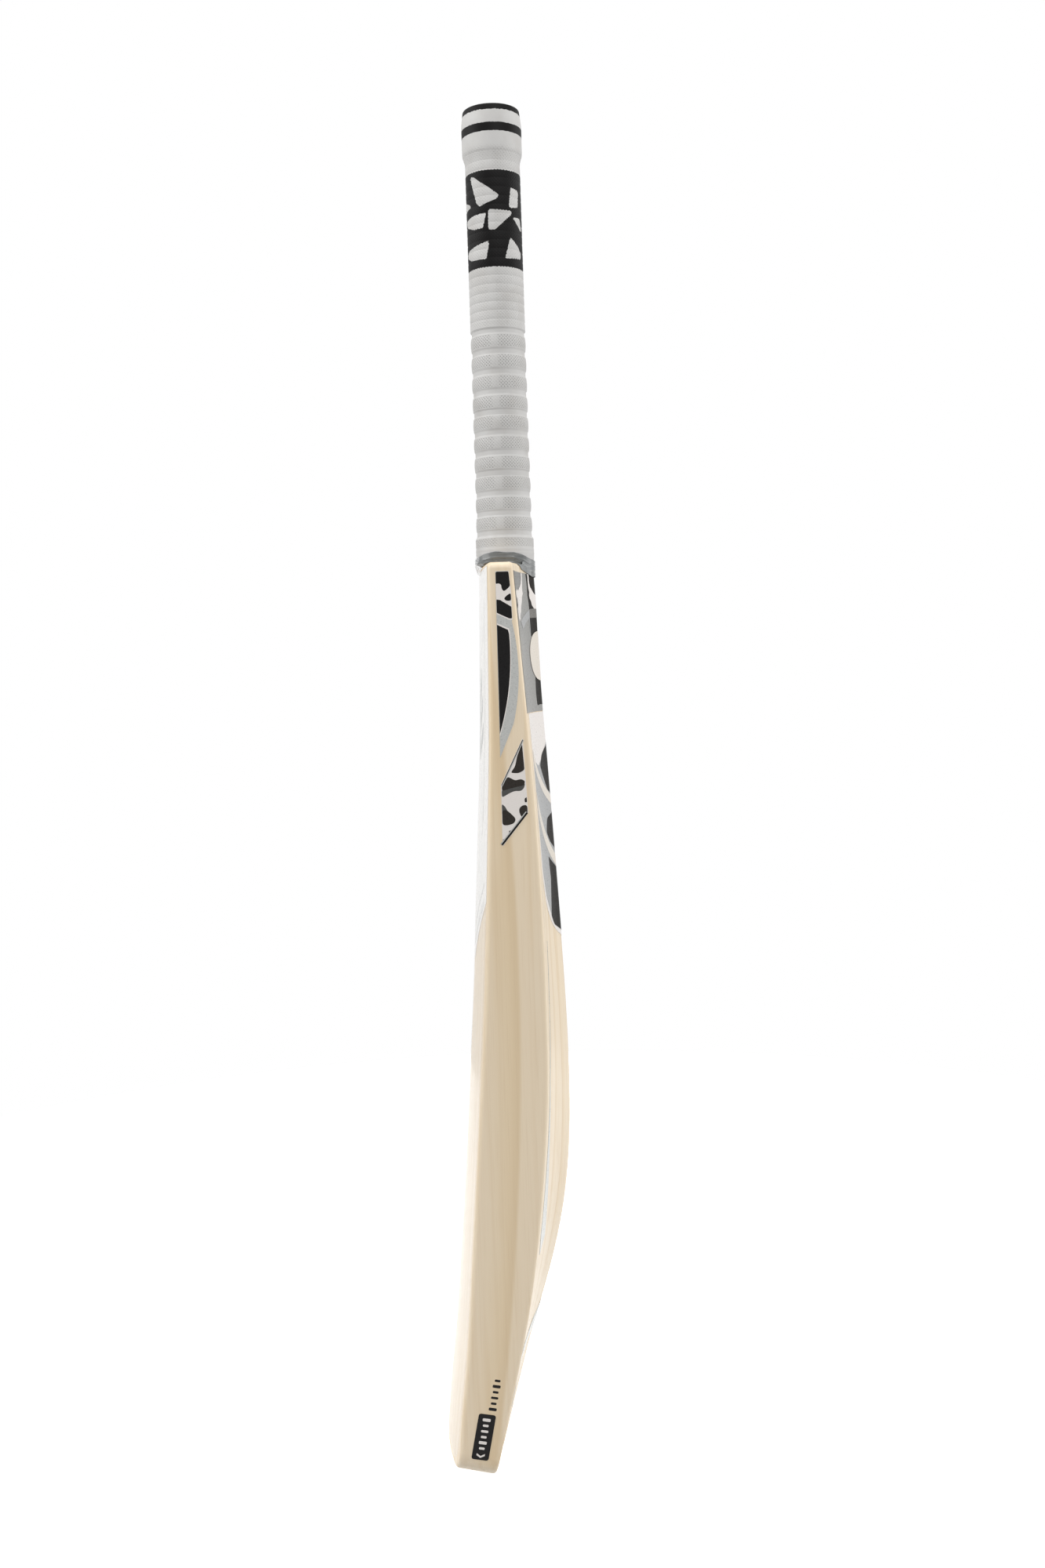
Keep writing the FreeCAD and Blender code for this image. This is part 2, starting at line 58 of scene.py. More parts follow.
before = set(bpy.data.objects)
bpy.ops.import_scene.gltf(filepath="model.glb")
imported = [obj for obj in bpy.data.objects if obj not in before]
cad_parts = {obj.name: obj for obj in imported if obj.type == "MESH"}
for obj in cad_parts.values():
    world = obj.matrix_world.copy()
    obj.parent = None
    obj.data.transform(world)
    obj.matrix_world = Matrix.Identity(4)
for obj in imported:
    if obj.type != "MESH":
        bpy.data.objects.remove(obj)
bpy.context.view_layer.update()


# ---------------------------------------- node trees


def linear(red, green, blue):
    """A display colour of 0 to 255 a channel as the linear RGBA that a shader takes."""

    def channel(value):
        share = value / 255
        return share / 12.92 if share <= 0.04045 else ((share + 0.055) / 1.055) ** 2.4

    return channel(red), channel(green), channel(blue), 1.0


class Tree:
    """One material, with short calls for the nodes that these materials use."""

    def __init__(self, name, finish):
        self.material = bpy.data.materials.new(name)
        self.material.use_nodes = True
        self.tree = self.material.node_tree
        self.shader = self.tree.nodes["Principled BSDF"]
        for socket, value in finish.items():
            self.shader.inputs[socket].default_value = value

    def node(self, kind, inputs, **settings):
        """A new node, whose inputs are set to values or linked to other nodes' outputs."""
        made = self.tree.nodes.new("ShaderNode" + kind)
        for key, value in settings.items():
            setattr(made, key, value)
        for key, value in inputs.items():
            if isinstance(value, bpy.types.NodeSocket):
                self.tree.links.new(value, made.inputs[key])
            else:
                made.inputs[key].default_value = value
        return made

    def math(self, operation, *values):
        return self.node("Math", dict(enumerate(values)), operation=operation).outputs[0]

    def place(self, across=1.0, deep=1.0, along=1.0):
        """Where the surface is, in the row frame in metres, scaled on each axis."""
        if not hasattr(self, "coordinates"):
            self.coordinates = self.node("TexCoord", {}).outputs["Object"]
        made = self.node("Mapping", {"Vector": self.coordinates, "Scale": (across, deep, along)})
        return made.outputs[0]

    def xyz(self):
        """The three outputs of that place: across, deep and along."""
        return self.node("SeparateXYZ", {"Vector": self.place()}).outputs

    def noise(self, where, scale, detail=2.0, roughness=0.5):
        sockets = {"Vector": where, "Scale": scale, "Detail": detail, "Roughness": roughness}
        return self.node("TexNoise", sockets).outputs["Fac"]

    def rise(self, value, start, end, low=0.0, high=1.0):
        """Goes smoothly from low to high while value goes from start to end."""
        sockets = {"Value": value, "From Min": start, "From Max": end, "To Min": low, "To Max": high}
        return self.node("MapRange", sockets, interpolation_type="SMOOTHSTEP").outputs["Result"]

    def blend(self, share, one, other):
        """One colour where share is 0 and the other where it is 1; each is a socket or a triple."""
        factor, first_colour, second_colour, result = 0, 6, 7, 2
        one, other = (linear(*c) if isinstance(c, tuple) else c for c in (one, other))
        sockets = {factor: share, first_colour: one, second_colour: other}
        return self.node("Mix", sockets, data_type="RGBA").outputs[result]

    def give(self, socket, value):
        """Links a value to a socket of the surface's shader."""
        self.tree.links.new(value, self.shader.inputs[socket])

    def bump(self, height, distance, strength=1.0):
        """Bumps the surface by a height of 0 to 1 that stands for a distance in millimetres."""
        sockets = {"Height": height, "Distance": distance * MM, "Strength": strength}
        if self.shader.inputs["Normal"].is_linked:
            sockets["Normal"] = self.shader.inputs["Normal"].links[0].from_socket
        self.give("Normal", self.node("Bump", sockets).outputs[0])


# ---------------------------------------- materials


def willow():
    """Bleached willow: rings that are straight lines on the face and broad bands on the edges."""
    trunk_x, trunk_y, taper = -0.26, -0.075, 0.0035
    ring, first_ring, wander = 9.5 * MM, -1.2 * MM, 5.0 * MM
    bow, bow_height, bow_depth = 0.246, -0.484, 2.9 * MM
    tree = Tree("willow", {"Roughness": 0.45, "Coat Weight": 0.22, "Coat Roughness": 0.2})
    across, deep, along = tree.xyz()
    drift = tree.noise(tree.place(9, 9, 1.3), 1.0, 1.0)
    below = tree.math("SUBTRACT", along, bow_height)
    bent = tree.math("MULTIPLY_ADD", tree.math("MULTIPLY", below, below), bow, deep)
    beside_trunk = tree.math("SUBTRACT", across, trunk_x)
    behind_trunk = tree.math("SUBTRACT", bent, trunk_y + bow_depth)
    offset = tree.node("CombineXYZ", {"X": beside_trunk, "Y": behind_trunk}).outputs[0]
    from_trunk = tree.node("VectorMath", {0: offset}, operation="LENGTH").outputs["Value"]
    radius = tree.math("MULTIPLY_ADD", below, taper, from_trunk)
    radius = tree.math("MULTIPLY_ADD", drift, wander, radius)
    phase = tree.math("FRACT", tree.math("DIVIDE", tree.math("ADD", radius, first_ring), ring))
    ring_end = tree.rise(phase, 0.93, 1.0, 1.0, 0.0)
    late = tree.math("MULTIPLY", tree.rise(phase, 0.5, 0.85), ring_end)
    line = tree.math("MULTIPLY", tree.rise(phase, 0.8, 0.93), ring_end)
    fibre = tree.noise(tree.place(1, 1, 0.012), 1500, 3.0, 0.6)
    streak = tree.noise(tree.place(1, 1, 0.02), 230, 2.0)
    mottle = tree.noise(tree.place(1, 1, 0.25), 28, 3.0)
    tone = tree.blend(late, (236, 218, 190), (230, 209, 175))
    tone = tree.blend(tree.math("MULTIPLY", line, 0.22), tone, (201, 170, 126))
    tone = tree.blend(tree.rise(streak, 0.45, 0.75, 0.0, 0.35), tone, (219, 193, 154))
    tone = tree.blend(tree.rise(fibre, 0.5, 0.8, 0.0, 0.28), tone, (205, 176, 135))
    tone = tree.blend(tree.rise(mottle, 0.5, 0.8, 0.0, 0.3), tone, (241, 229, 209))
    tree.give("Base Color", tone)
    tree.give("Roughness", tree.rise(fibre, 0.3, 0.8, 0.4, 0.56))
    tree.bump(fibre, 0.03, 0.5)
    tree.bump(line, 0.02, 0.4)
    return tree.material


def cane():
    """Handle cane: straight straw-coloured fibres with darker pores on the cut end."""
    tree = Tree("cane", {"Roughness": 0.55})
    fibre = tree.noise(tree.place(1, 1, 0.01), 2600, 2.0)
    pores = tree.node(
        "TexVoronoi", {"Vector": tree.place(1, 1, 0.01), "Scale": 1500}, feature="F1"
    ).outputs["Distance"]
    tone = tree.blend(tree.rise(fibre, 0.35, 0.7), (214, 184, 136), (186, 150, 98))
    tone = tree.blend(tree.rise(pores, 0.35, 0.12), tone, (120, 88, 52))
    tree.give("Base Color", tone)
    tree.bump(pores, 0.06, 0.6)
    return tree.material


def twine():
    """Waxed thread wound round the cane, one turn to a ridge."""
    turn = 0.8 * MM
    tree = Tree("twine", {"Roughness": 0.7, "Sheen Weight": 0.2})
    along = tree.xyz()[2]
    wave = tree.math("SINE", tree.math("MULTIPLY", along, 2 * math.pi / turn))
    fuzz = tree.noise(tree.place(), 3500, 2.0)
    # Painted shade: the thread is painted dark in the grooves between its turns, where the wave is low.
    tone = tree.blend(tree.rise(wave, -1.0, 0.6), (120, 96, 66), (206, 188, 152))
    tone = tree.blend(tree.rise(fuzz, 0.5, 0.8, 0.0, 0.4), tone, (232, 220, 194))
    tree.give("Base Color", tone)
    tree.bump(wave, 0.15)
    return tree.material


def spring_rubber():
    """The dull black rubber strips glued between the cane slabs."""
    tree = Tree("strip_rubber", {"Roughness": 0.8})
    speck = tree.noise(tree.place(), 1800, 3.0)
    tone = tree.blend(tree.rise(speck, 0.4, 0.75), (38, 36, 35), (66, 62, 60))
    tree.give("Base Color", tone)
    tree.bump(speck, 0.05)
    return tree.material


def grip_rubber(knurls, pitch, start):
    """Pale moulded rubber with printed black bands, which follow the mesh's ink distance."""
    tree = Tree("grip_rubber", {"Roughness": 0.6, "Specular IOR Level": 0.1})
    across, deep, along = tree.xyz()
    turn = tree.math("MULTIPLY", tree.math("ARCTAN2", deep, across), knurls / 2)
    climb = tree.math("MULTIPLY", tree.math("SUBTRACT", along, start), math.pi / (pitch * MM))
    ridges = [
        tree.math("ABSOLUTE", tree.math("COSINE", tree.math(lean, turn, climb)))
        for lean in ("ADD", "SUBTRACT")
    ]
    mesh = tree.math("MAXIMUM", *ridges)
    field = tree.node("Attribute", {}, attribute_name="knurled").outputs["Fac"]
    raised = tree.math("MULTIPLY", tree.math("SUBTRACT", mesh, 1.0), field)
    ink = tree.node("Attribute", {}, attribute_name="ink").outputs["Fac"]
    ragged = tree.math("MULTIPLY_ADD", raised, 0.9, ink)
    wander = tree.noise(tree.place(), 700, 2.0)
    ragged = tree.math("ADD", ragged, tree.rise(wander, 0.3, 0.7, -0.08, 0.14))
    black = tree.rise(ragged, 0.09, -0.09)
    grime = tree.noise(tree.place(), 60, 4.0)
    grain = tree.noise(tree.place(), 4200, 2.0)
    pale = tree.blend(tree.rise(grime, 0.4, 0.75), (206, 205, 203), (197, 195, 192))
    # Painted shade: the pale rubber is painted darker down in the diamond pits, where raised is below 0.
    pale = tree.blend(tree.rise(raised, -0.1, -0.8, 0.0, 0.85), pale, (164, 162, 160))
    pits = tree.rise(raised, -0.3, -0.6)
    missed = tree.math("MULTIPLY", tree.rise(grain, 0.66, 0.74, 0.0, 0.25), pits)
    dark = tree.blend(missed, (19, 18, 18), (150, 148, 146))
    tree.give("Base Color", tree.blend(black, pale, dark))
    tree.give("Roughness", tree.rise(black, 0.0, 1.0, 0.6, 0.5))
    tree.bump(raised, 0.32, 0.9)
    tree.bump(grain, 0.03, 0.4)
    return tree.material


def vinyl():
    """Stretched grey vinyl tape: a satin surface with fine pull lines round the bat."""
    tree = Tree("vinyl_tape", {"Roughness": 0.3, "Coat Weight": 0.35, "Coat Roughness": 0.15})
    pull = tree.noise(tree.place(60, 60, 900), 1.0, 3.0, 0.6)
    pucker = tree.noise(tree.place(1, 1, 2.5), 160, 2.0)
    tone = tree.blend(tree.rise(pull, 0.35, 0.75), (94, 97, 97), (118, 121, 120))
    tree.give("Base Color", tone)
    tree.give("Roughness", tree.rise(pucker, 0.3, 0.7, 0.22, 0.42))
    tree.bump(pull, 0.1, 0.6)
    tree.bump(pucker, 0.25, 0.6)
    return tree.material


def clear_film(name, least, most, wrinkle):
    """Clear plastic, whose cover goes from least to most where it is seen edge-on: the white of that
    cover is painted reflection, beside the shader's own gloss.
    """
    tree = Tree(name, {"Roughness": 0.08, "Base Color": linear(246, 247, 248), "IOR": 1.45})
    edge_on = tree.node("LayerWeight", {"Blend": 0.35}).outputs["Facing"]
    crease = tree.noise(tree.place(1, 1, 0.15), 120, 3.0)
    # Painted reflection: the near-white film grows more opaque where it is seen edge-on.
    tree.give("Alpha", tree.rise(edge_on, 0.25, 1.0, least, most))
    tree.give("Roughness", tree.rise(crease, 0.3, 0.7, 0.04, 0.16))
    tree.bump(crease, wrinkle, 0.5)
    return tree.material


def printed(name, colour, fleck, metal=0.0, gloss=0.3):
    """Screen-printed ink under a thin lacquer, with the faint rule of its halftone."""
    rule = 0.8 * MM
    finish = {"Specular IOR Level": gloss, "Coat Weight": gloss / 2, "Coat Roughness": 0.12}
    tree = Tree(name, {"Roughness": 0.35, "Metallic": metal, **finish})
    across, deep, along = tree.xyz()
    slope = tree.math("ADD", along, tree.math("MULTIPLY", tree.math("ADD", deep, across), 0.3))
    lines = tree.math("SINE", tree.math("MULTIPLY", slope, 2 * math.pi / rule))
    worn = tree.noise(tree.place(), 900, 3.0)
    body = tree.noise(tree.place(1, 1, 0.3), 45, 2.0)
    share = tree.math("MULTIPLY", tree.rise(lines, -1.0, 1.0), tree.rise(worn, 0.3, 0.7))
    tone = tree.blend(tree.math("MULTIPLY", share, 0.6), colour, fleck)
    tone = tree.blend(tree.rise(body, 0.45, 0.75, 0.0, 0.35), tone, fleck)
    tree.give("Base Color", tone)
    tree.give("Roughness", tree.rise(worn, 0.3, 0.75, 0.26, 0.44))
    tree.bump(worn, 0.015, 0.4)
    return tree.material


def studio_floor():
    """A white floor, the same all over, that lights the bat less than it shows."""
    tree = Tree("studio_floor", {"Roughness": 0.9, "Specular IOR Level": 0.1})
    mottle = tree.noise(tree.place(), 3.0, 2.0)
    pale = tree.blend(mottle, (226, 226, 226), (222, 222, 222))
    onto_bat = tree.node("LightPath", {}).outputs["Is Diffuse Ray"]
    tree.give("Base Color", tree.blend(onto_bat, pale, (52, 51, 50)))
    tree.shader.inputs["Emission Color"].default_value = (1, 1, 1, 1)
    tree.give("Emission Strength", tree.rise(onto_bat, 0.0, 1.0, 0.8, 0.42))
    return tree.material


# The grip's diamonds and lowest ring, which both its rubber and its mesh follow.
KNURLS = 54
KNURL_PITCH = 2.0
LAST_RING = -128.3

WILLOW = willow()
CANE = cane()
TWINE = twine()
STRIP = spring_rubber()
RUBBER = grip_rubber(KNURLS, KNURL_PITCH, LAST_RING * MM)
VINYL = vinyl()
FILM = clear_film("clear_film", 0.03, 0.2, 0.05)
CRUMPLED = clear_film("crumpled_film", 0.1, 0.6, 0.3)
BLACK = printed("black_ink", (26, 25, 25), (36, 34, 34), gloss=0.08)
JET = printed("jet_ink", (28, 25, 22), (38, 35, 32), gloss=0.03)
UMBER = printed("umber_ink", (48, 44, 40), (60, 56, 52), gloss=0.1)
CHARCOAL = printed("charcoal_ink", (80, 80, 78), (94, 94, 92), gloss=0.1)
GREY = printed("grey_ink", (156, 157, 157), (172, 173, 173))
SILVER = printed("silver_ink", (184, 185, 182), (204, 205, 202), 0.2)
WHITE = printed("white_ink", (236, 230, 225), (228, 221, 215))
PALE = printed("pale_ink", (249, 247, 243), (244, 241, 236))
MIST = printed("mist_ink", (231, 230, 226), (238, 237, 233))
SMOKE = printed("smoke_ink", (94, 90, 84), (104, 100, 94))
ASH = printed("ash_ink", (110, 109, 105), (122, 121, 117))
SLATE = printed("slate_ink", (135, 134, 130), (150, 149, 145))
CREAM = printed("cream_ink", (227, 219, 207), (220, 209, 194))


# ---------------------------------------- outlines


def smooth(value):
    """Eases a value from 0 at 0 to 1 at 1."""
    value = np.clip(value, 0.0, 1.0)
    return value * value * (3 - 2 * value)


def bowed(start, end, bow, steps=14):
    """Points on an arc from start to end that swells by bow to the right of the way it goes."""
    start, end = np.array(start, float), np.array(end, float)
    side = np.array([end[1] - start[1], start[0] - end[0]]) / np.linalg.norm(end - start)
    shares = np.linspace(0, 1, steps + 1)
    return [tuple(start + (end - start) * t + side * bow * 4 * t * (1 - t)) for t in shares]


def softened(corners, radius, steps=5):
    """A closed outline whose corners are rounded; a large radius turns it into a blob."""
    closest = 0.02
    count = len(corners)
    corners = [np.array(c, float) for c in corners]
    points = []
    for i, corner in enumerate(corners):
        ends = []
        for other in (corners[i - 1], corners[(i + 1) % count]):
            reach = np.linalg.norm(other - corner)
            ends.append(corner + (other - corner) * min(radius / reach, 0.5))
        for t in np.linspace(0, 1, steps + 1):
            points.append(tuple((1 - t) ** 2 * ends[0] + 2 * t * (1 - t) * corner + t * t * ends[1]))
    return [p for i, p in enumerate(points) if math.dist(p, points[i - 1]) > closest]


def mirrored(outline):
    """The outline on the other side of the ridge, which is at x = 0, going the same way round."""
    return [(-x, z) for x, z in reversed(outline)]


def both(outlines):
    """The outlines and their mirror images, made one where an outline has a side on the ridge."""
    made = []
    for outline in outlines:
        on_ridge = [abs(x) < 0.01 for x, _ in outline]
        sides = [i for i in range(len(outline)) if on_ridge[i] and on_ridge[i - 1]]
        if sides:
            half = outline[sides[0]:] + outline[:sides[0]]
            made.append(half + mirrored(half)[1:-1])
        else:
            made += [outline, mirrored(outline)]
    return made


def divided(outline, longest=0.8):
    """The same closed outline with points no further apart than longest."""
    points = []
    for i, end in enumerate(outline):
        start, end = np.array(outline[i - 1], float), np.array(end, float)
        count = max(1, math.ceil(np.linalg.norm(end - start) / longest))
        points += [tuple(start + (end - start) * (k + 1) / count) for k in range(count)]
    return points


def outline_distance(points, corners):
    """How far each point is outside a closed outline, and below 0 inside it."""
    points = np.asarray(points, float)
    nearest = np.full(len(points), np.inf)
    inside = np.zeros(len(points), bool)
    corners = np.array(corners, float)
    for a, b in zip(corners, np.roll(corners, -1, axis=0)):
        edge = b - a
        share = np.clip(((points - a) @ edge) / (edge @ edge), 0, 1)
        nearest = np.minimum(nearest, np.linalg.norm(points - a - share[:, None] * edge, axis=1))
        rises = (a[1] > points[:, 1]) != (b[1] > points[:, 1])
        crossing = a[0] + edge[0] * (points[:, 1] - a[1]) / (edge[1] or 1e-9)
        inside ^= rises & (points[:, 0] < crossing)
    return np.where(inside, -nearest, nearest)


# ---------------------------------------- pieces


def linked(name, data):
    """A new object in the scene with that mesh, light or camera."""
    made = bpy.data.objects.new(name, data)
    bpy.context.scene.collection.objects.link(made)
    return made


def piece(name, points, faces, material, soft=True):
    """A new mesh piece in the row frame that rides on the bat."""
    mesh = bpy.data.meshes.new(name)
    mesh.from_pydata([tuple(p) for p in points], [], [tuple(f) for f in faces])
    mesh.validate()
    mesh.polygons.foreach_set("use_smooth", [soft] * len(mesh.polygons))
    mesh.materials.append(material)
    made = linked(name, mesh)
    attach(made, "root")
    return made


def surface_of(node):
    """The mesh of a CAD node, ready for rays."""
    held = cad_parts[node].data
    return BVHTree.FromPolygons([v.co for v in held.vertices], [p.vertices for p in held.polygons])


def onto_flat(box, side):
    """Puts (y, z) in millimetres on the flat right (+1) or left (-1) side of a node's box."""
    flat = box[1].x if side > 0 else box[0].x

    def put(u, v):
        return Vector((flat, u * MM, v * MM)), Vector((side, 0, 0))

    return put


def onto_edge(side):
    """Puts (y, z) in millimetres on the flat label of that edge."""
    return onto_flat(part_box("edge_label_right" if side > 0 else "edge_label_left"), side)


def onto_wood(side):
    """Puts (y, z) in millimetres on that flat edge of the bare blade."""
    return onto_flat(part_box("blade"), side)


def onto_sheet(node, way):
    """Puts (x, z) in millimetres on the outer side of a sheet; way is +1 on the back."""
    sheet = surface_of(node)
    low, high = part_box(node)
    inset, away = 0.01 * MM, 200 * MM

    def put(u, v):
        x = min(max(u * MM, low.x + inset), high.x - inset)
        z = min(max(v * MM, low.z + inset), high.z - inset)
        hit, normal, _, _ = sheet.ray_cast(Vector((x, way * away, z)), Vector((0, -way, 0)))
        if hit is None:
            hit, normal, _, _ = sheet.find_nearest(Vector((x, high.y if way > 0 else low.y, z)))
        if normal.y * way < 0:
            normal = -normal
        return hit, normal

    return put


INK_DEPTH = 0.04
CURVED_LIFT = 0.06
FILL_GRID = 2.5
FILL_MARGIN = 0.4
RIDGE_COLUMNS = np.arange(-7.5, 7.6, 0.75)


def fill_points(outline):
    """Points inside an outline that let its layer follow a curved surface, closest at the ridge."""
    us, vs = zip(*outline)
    columns = np.union1d(np.arange(min(us), max(us), FILL_GRID), RIDGE_COLUMNS)
    columns = columns[(columns > min(us)) & (columns < max(us))]
    grid = [(u, v) for u in columns for v in np.arange(min(vs), max(vs), FILL_GRID)]
    if not grid:
        return []
    deep = outline_distance(grid, outline) < -FILL_MARGIN
    return [Vector(p) for p, inside in zip(grid, deep) if inside]


def rim_of(patches):
    """The sides that belong to one patch only, each in the direction that the patch goes round."""
    rounds = [zip(patch, list(patch[1:]) + [patch[0]]) for patch in patches]
    used = dict.fromkeys(side for sides in rounds for side in sides)
    return [(a, b) for a, b in used if (b, a) not in used]


def inlay(name, outlines, put, material, layer=1, filled=True):
    """A layer of ink: thin closed solids with these outlines on the surface that put finds.

    On a curved surface a layer is filled with points that follow it, and lies a little higher.
    """
    inside_only, weld = 1, 1e-5
    points, faces = [], []
    low, high = INK_DEPTH * (layer - 1) * MM, (INK_DEPTH * layer + CURVED_LIFT * filled) * MM
    for outline in outlines:
        outline = divided(outline) if filled else outline
        flat = [Vector(p) for p in outline]
        ring = [(i, (i + 1) % len(flat)) for i in range(len(flat))]
        if filled:
            flat += fill_points(outline)
        where, _, patches, *_ = delaunay_2d_cdt(flat, ring, [], inside_only, weld)
        base, count = len(points), len(where)
        held = [put(p.x, p.y) for p in where]
        points += [at + normal * high for at, normal in held]
        points += [at + normal * low for at, normal in held]
        top = [[base + i for i in patch] for patch in patches]
        a, b, c = (points[i] for i in top[0][:3])
        flipped = (b - a).cross(c - a).dot(held[patches[0][0]][1]) < 0
        sides = [
            [base + a, base + count + a, base + count + b, base + b] for a, b in rim_of(patches)
        ]
        under = [[i + count for i in reversed(patch)] for patch in top]
        for face in top + sides + under:
            faces.append(face[::-1] if flipped else face)
    return piece(name, points, faces, material, soft=False)


def round_handle(radius, angle, z):
    """Points in millimetres from their distance off the handle's axis, their angle and height."""
    return np.stack([radius * np.cos(angle), radius * np.sin(angle), z], axis=-1)


def ring_shell(name, outer, inner, material):
    """A closed shell round the handle: outer rows from the top down, inner rows back up."""
    rows = np.concatenate([outer, inner])
    index = np.arange(rows[..., 0].size).reshape(rows.shape[:2])
    right = np.roll(index, -1, axis=1)
    below, below_right = np.roll(index, -1, axis=0), np.roll(right, -1, axis=0)
    faces = np.stack([index, below, below_right, right], axis=-1).reshape(-1, 4)
    return piece(name, rows.reshape(-1, 3) * MM, faces.tolist(), material)


def sheet_shell(name, over, sheet, material):
    """A closed sheet: a grid of points in millimetres and the same grid moved by sheet."""
    rows, columns = over.shape[:2]
    count = rows * columns
    index = np.arange(count).reshape(rows, columns)
    corners = [index[:-1, :-1], index[1:, :-1], index[1:, 1:], index[:-1, 1:]]
    top = np.stack(corners, axis=-1).reshape(-1, 4)
    rim = np.concatenate([index[0, ::-1], index[1:, 0], index[-1, 1:], index[-2:0:-1, -1]])
    after = np.roll(rim, -1)
    walls = np.stack([rim + count, after + count, after, rim], axis=-1)
    points = np.concatenate([over.reshape(-1, 3), (over + sheet).reshape(-1, 3)]) * MM
    faces = np.concatenate([top, top[:, ::-1] + count, walls]).tolist()
    return piece(name, points, faces, material)


# ---------------------------------------- the grip


COLUMNS = 4 * KNURLS
TOP_ROUNDING = 0.8
RINGS, RING_PITCH, RING_DEPTH, RING_WIDTH, RINGS_START = 24, 5.28, 0.2, 0.45, -26.0
GROOVE_FOOT, GROOVE_PITCH, GROOVE_HEIGHT, GROOVE_DEPTH, GROOVES = -136.8, 12.35, 3.4, 0.8, 11
GROOVES_END = -261.0
WAIST_DEPTH = 0.4
KNURL_DEPTH = 0.3
LIPS = ((-267.2, 0.5), (-269.8, 0.4))
LIP_DEPTH = 0.14
PRINT_RADIUS = 17.0
UNPRINTED = 9.0
GRIP_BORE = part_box("twine_binding")[1].x / MM
GRIP_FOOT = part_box("rubber_grip")[0].z / MM
BAND_TOPS = (1.0, -11.6, -39.4)
BAND_FEET = (-4.0, -16.7, -97.0)
# Pale shards in the lowest black band, in millimetres round the grip and up it.
SHARDS = (
    ((-17.5, -41.6), (-14.8, -41.8), (2.4, -54.4), (1.2, -56.6), (-10.2, -60.6), (-12.2, -58.8)),
    ((10.4, -49.0), (17.8, -50.2), (16.6, -60.2), (8.6, -61.8)),
    ((-26.6, -55.0), (-18.6, -57.6), (-17.4, -59.4), (-26.0, -61.2)),
    ((-24.6, -66.8), (-15.4, -65.0), (-5.8, -64.6), (-8.4, -73.6), (-14.8, -73.6), (-24.0, -70.4)),
    ((-4.6, -62.8), (10.8, -63.4), (10.4, -65.6), (-0.9, -75.2), (-4.9, -74.8)),
    ((10.6, -66.8), (18.6, -66.4), (21.4, -73.2), (19.0, -73.8)),
    ((-24.2, -85.6), (-4.2, -81.4), (-6.8, -92.2), (-18.4, -91.6), (-24.6, -88.8)),
    ((9.0, -79.2), (12.0, -81.0), (19.2, -87.4), (18.2, -91.0), (5.0, -92.2)),
    ((24.6, -46.0), (27.2, -45.2), (25.8, -52.4), (23.2, -52.8)),
    ((24.0, -76.4), (26.8, -80.2), (23.6, -86.2)),
)
# Where the diamonds are shallower, on two opposite sides, in degrees.
SMOOTH_COLUMN = -12.0
SMOOTH_HALF = 6.5


def grip_profile(z):
    """The grip's outer radius: a collar at the top, a long barrel and a fuller foot."""
    heights = (-277, -273, -270, -267, -262, -256, -242, -128, -31, -26.5, -9, -4, 1)
    radii = (18.0, 18.25, 18.4, 18.3, 18.3, 17.75, 17.5, 17.1, 17.0, 18.5, 18.6, 18.0, 17.35)
    return np.interp(z, heights, radii)


def knurl(angle, z):
    """1 on the crossing diagonal ridges and 0 in the diamond pits between them."""
    climb = math.pi * (z - LAST_RING) / KNURL_PITCH
    turn = KNURLS * angle / 2
    return np.maximum(np.abs(np.cos(turn + climb)), np.abs(np.cos(turn - climb)))


def grip_shape(angle, z):
    """The grip's radius, and how far its diamonds are raised there, from 0 to 1."""

    def field(top, foot, top_fade, foot_fade, share):
        """The share between two heights, which fades in below the top and out above the foot."""
        return smooth((top - z) / top_fade) * smooth((z - foot) / foot_fade) * share

    turned_in = np.clip((z + TOP_ROUNDING) / TOP_ROUNDING, 0, 1)
    radius = grip_profile(z) - TOP_ROUNDING * (1 - np.sqrt(1 - turned_in ** 2))
    ring = np.abs((z - LAST_RING + RING_PITCH / 2) % RING_PITCH - RING_PITCH / 2)
    ringed = (z > LAST_RING - 1) & (z < RINGS_START)
    radius = radius - RING_DEPTH * np.exp(-((ring / RING_WIDTH) ** 2)) * ringed
    radius = radius - LIP_DEPTH * sum(np.exp(-(((z - at) / wide) ** 2)) for at, wide in LIPS)
    below = (GROOVE_FOOT + GROOVE_HEIGHT / 2 - z) / GROOVE_PITCH
    nearest = np.clip(np.round(below), 0, GROOVES - 1)
    off = np.abs(below - nearest) * GROOVE_PITCH - GROOVE_HEIGHT / 2
    hollow = 1 - smooth((off + 0.25) / 0.7)
    swell = (np.clip(off, 0, None) / (GROOVE_PITCH - GROOVE_HEIGHT) * 2 - 1) ** 2
    waist = WAIST_DEPTH * np.clip(swell, 0, 1) * (off > 0)
    banded = (z < GROOVE_FOOT + GROOVE_HEIGHT) & (z > GROOVES_END)
    radius = radius - (GROOVE_DEPTH * hollow + waist) * banded
    column = np.abs((np.degrees(angle) - SMOOTH_COLUMN + 90) % 180 - 90)
    beside = smooth((column - SMOOTH_HALF + 1) / 5)
    lower = smooth((off - 0.5) / 0.6) * banded
    upper = field(-23.0, -133.3, top_fade=4.0, foot_fade=0.6, share=0.55)
    foot = field(-261.5, -266.8, top_fade=0.8, foot_fade=0.5, share=0.8)
    carved = np.maximum(lower, foot) * (0.4 + 0.6 * beside)
    fields = np.maximum(carved, upper * (0.55 + 0.45 * beside))
    return radius + KNURL_DEPTH * (knurl(angle, z) - 1) * carved, fields


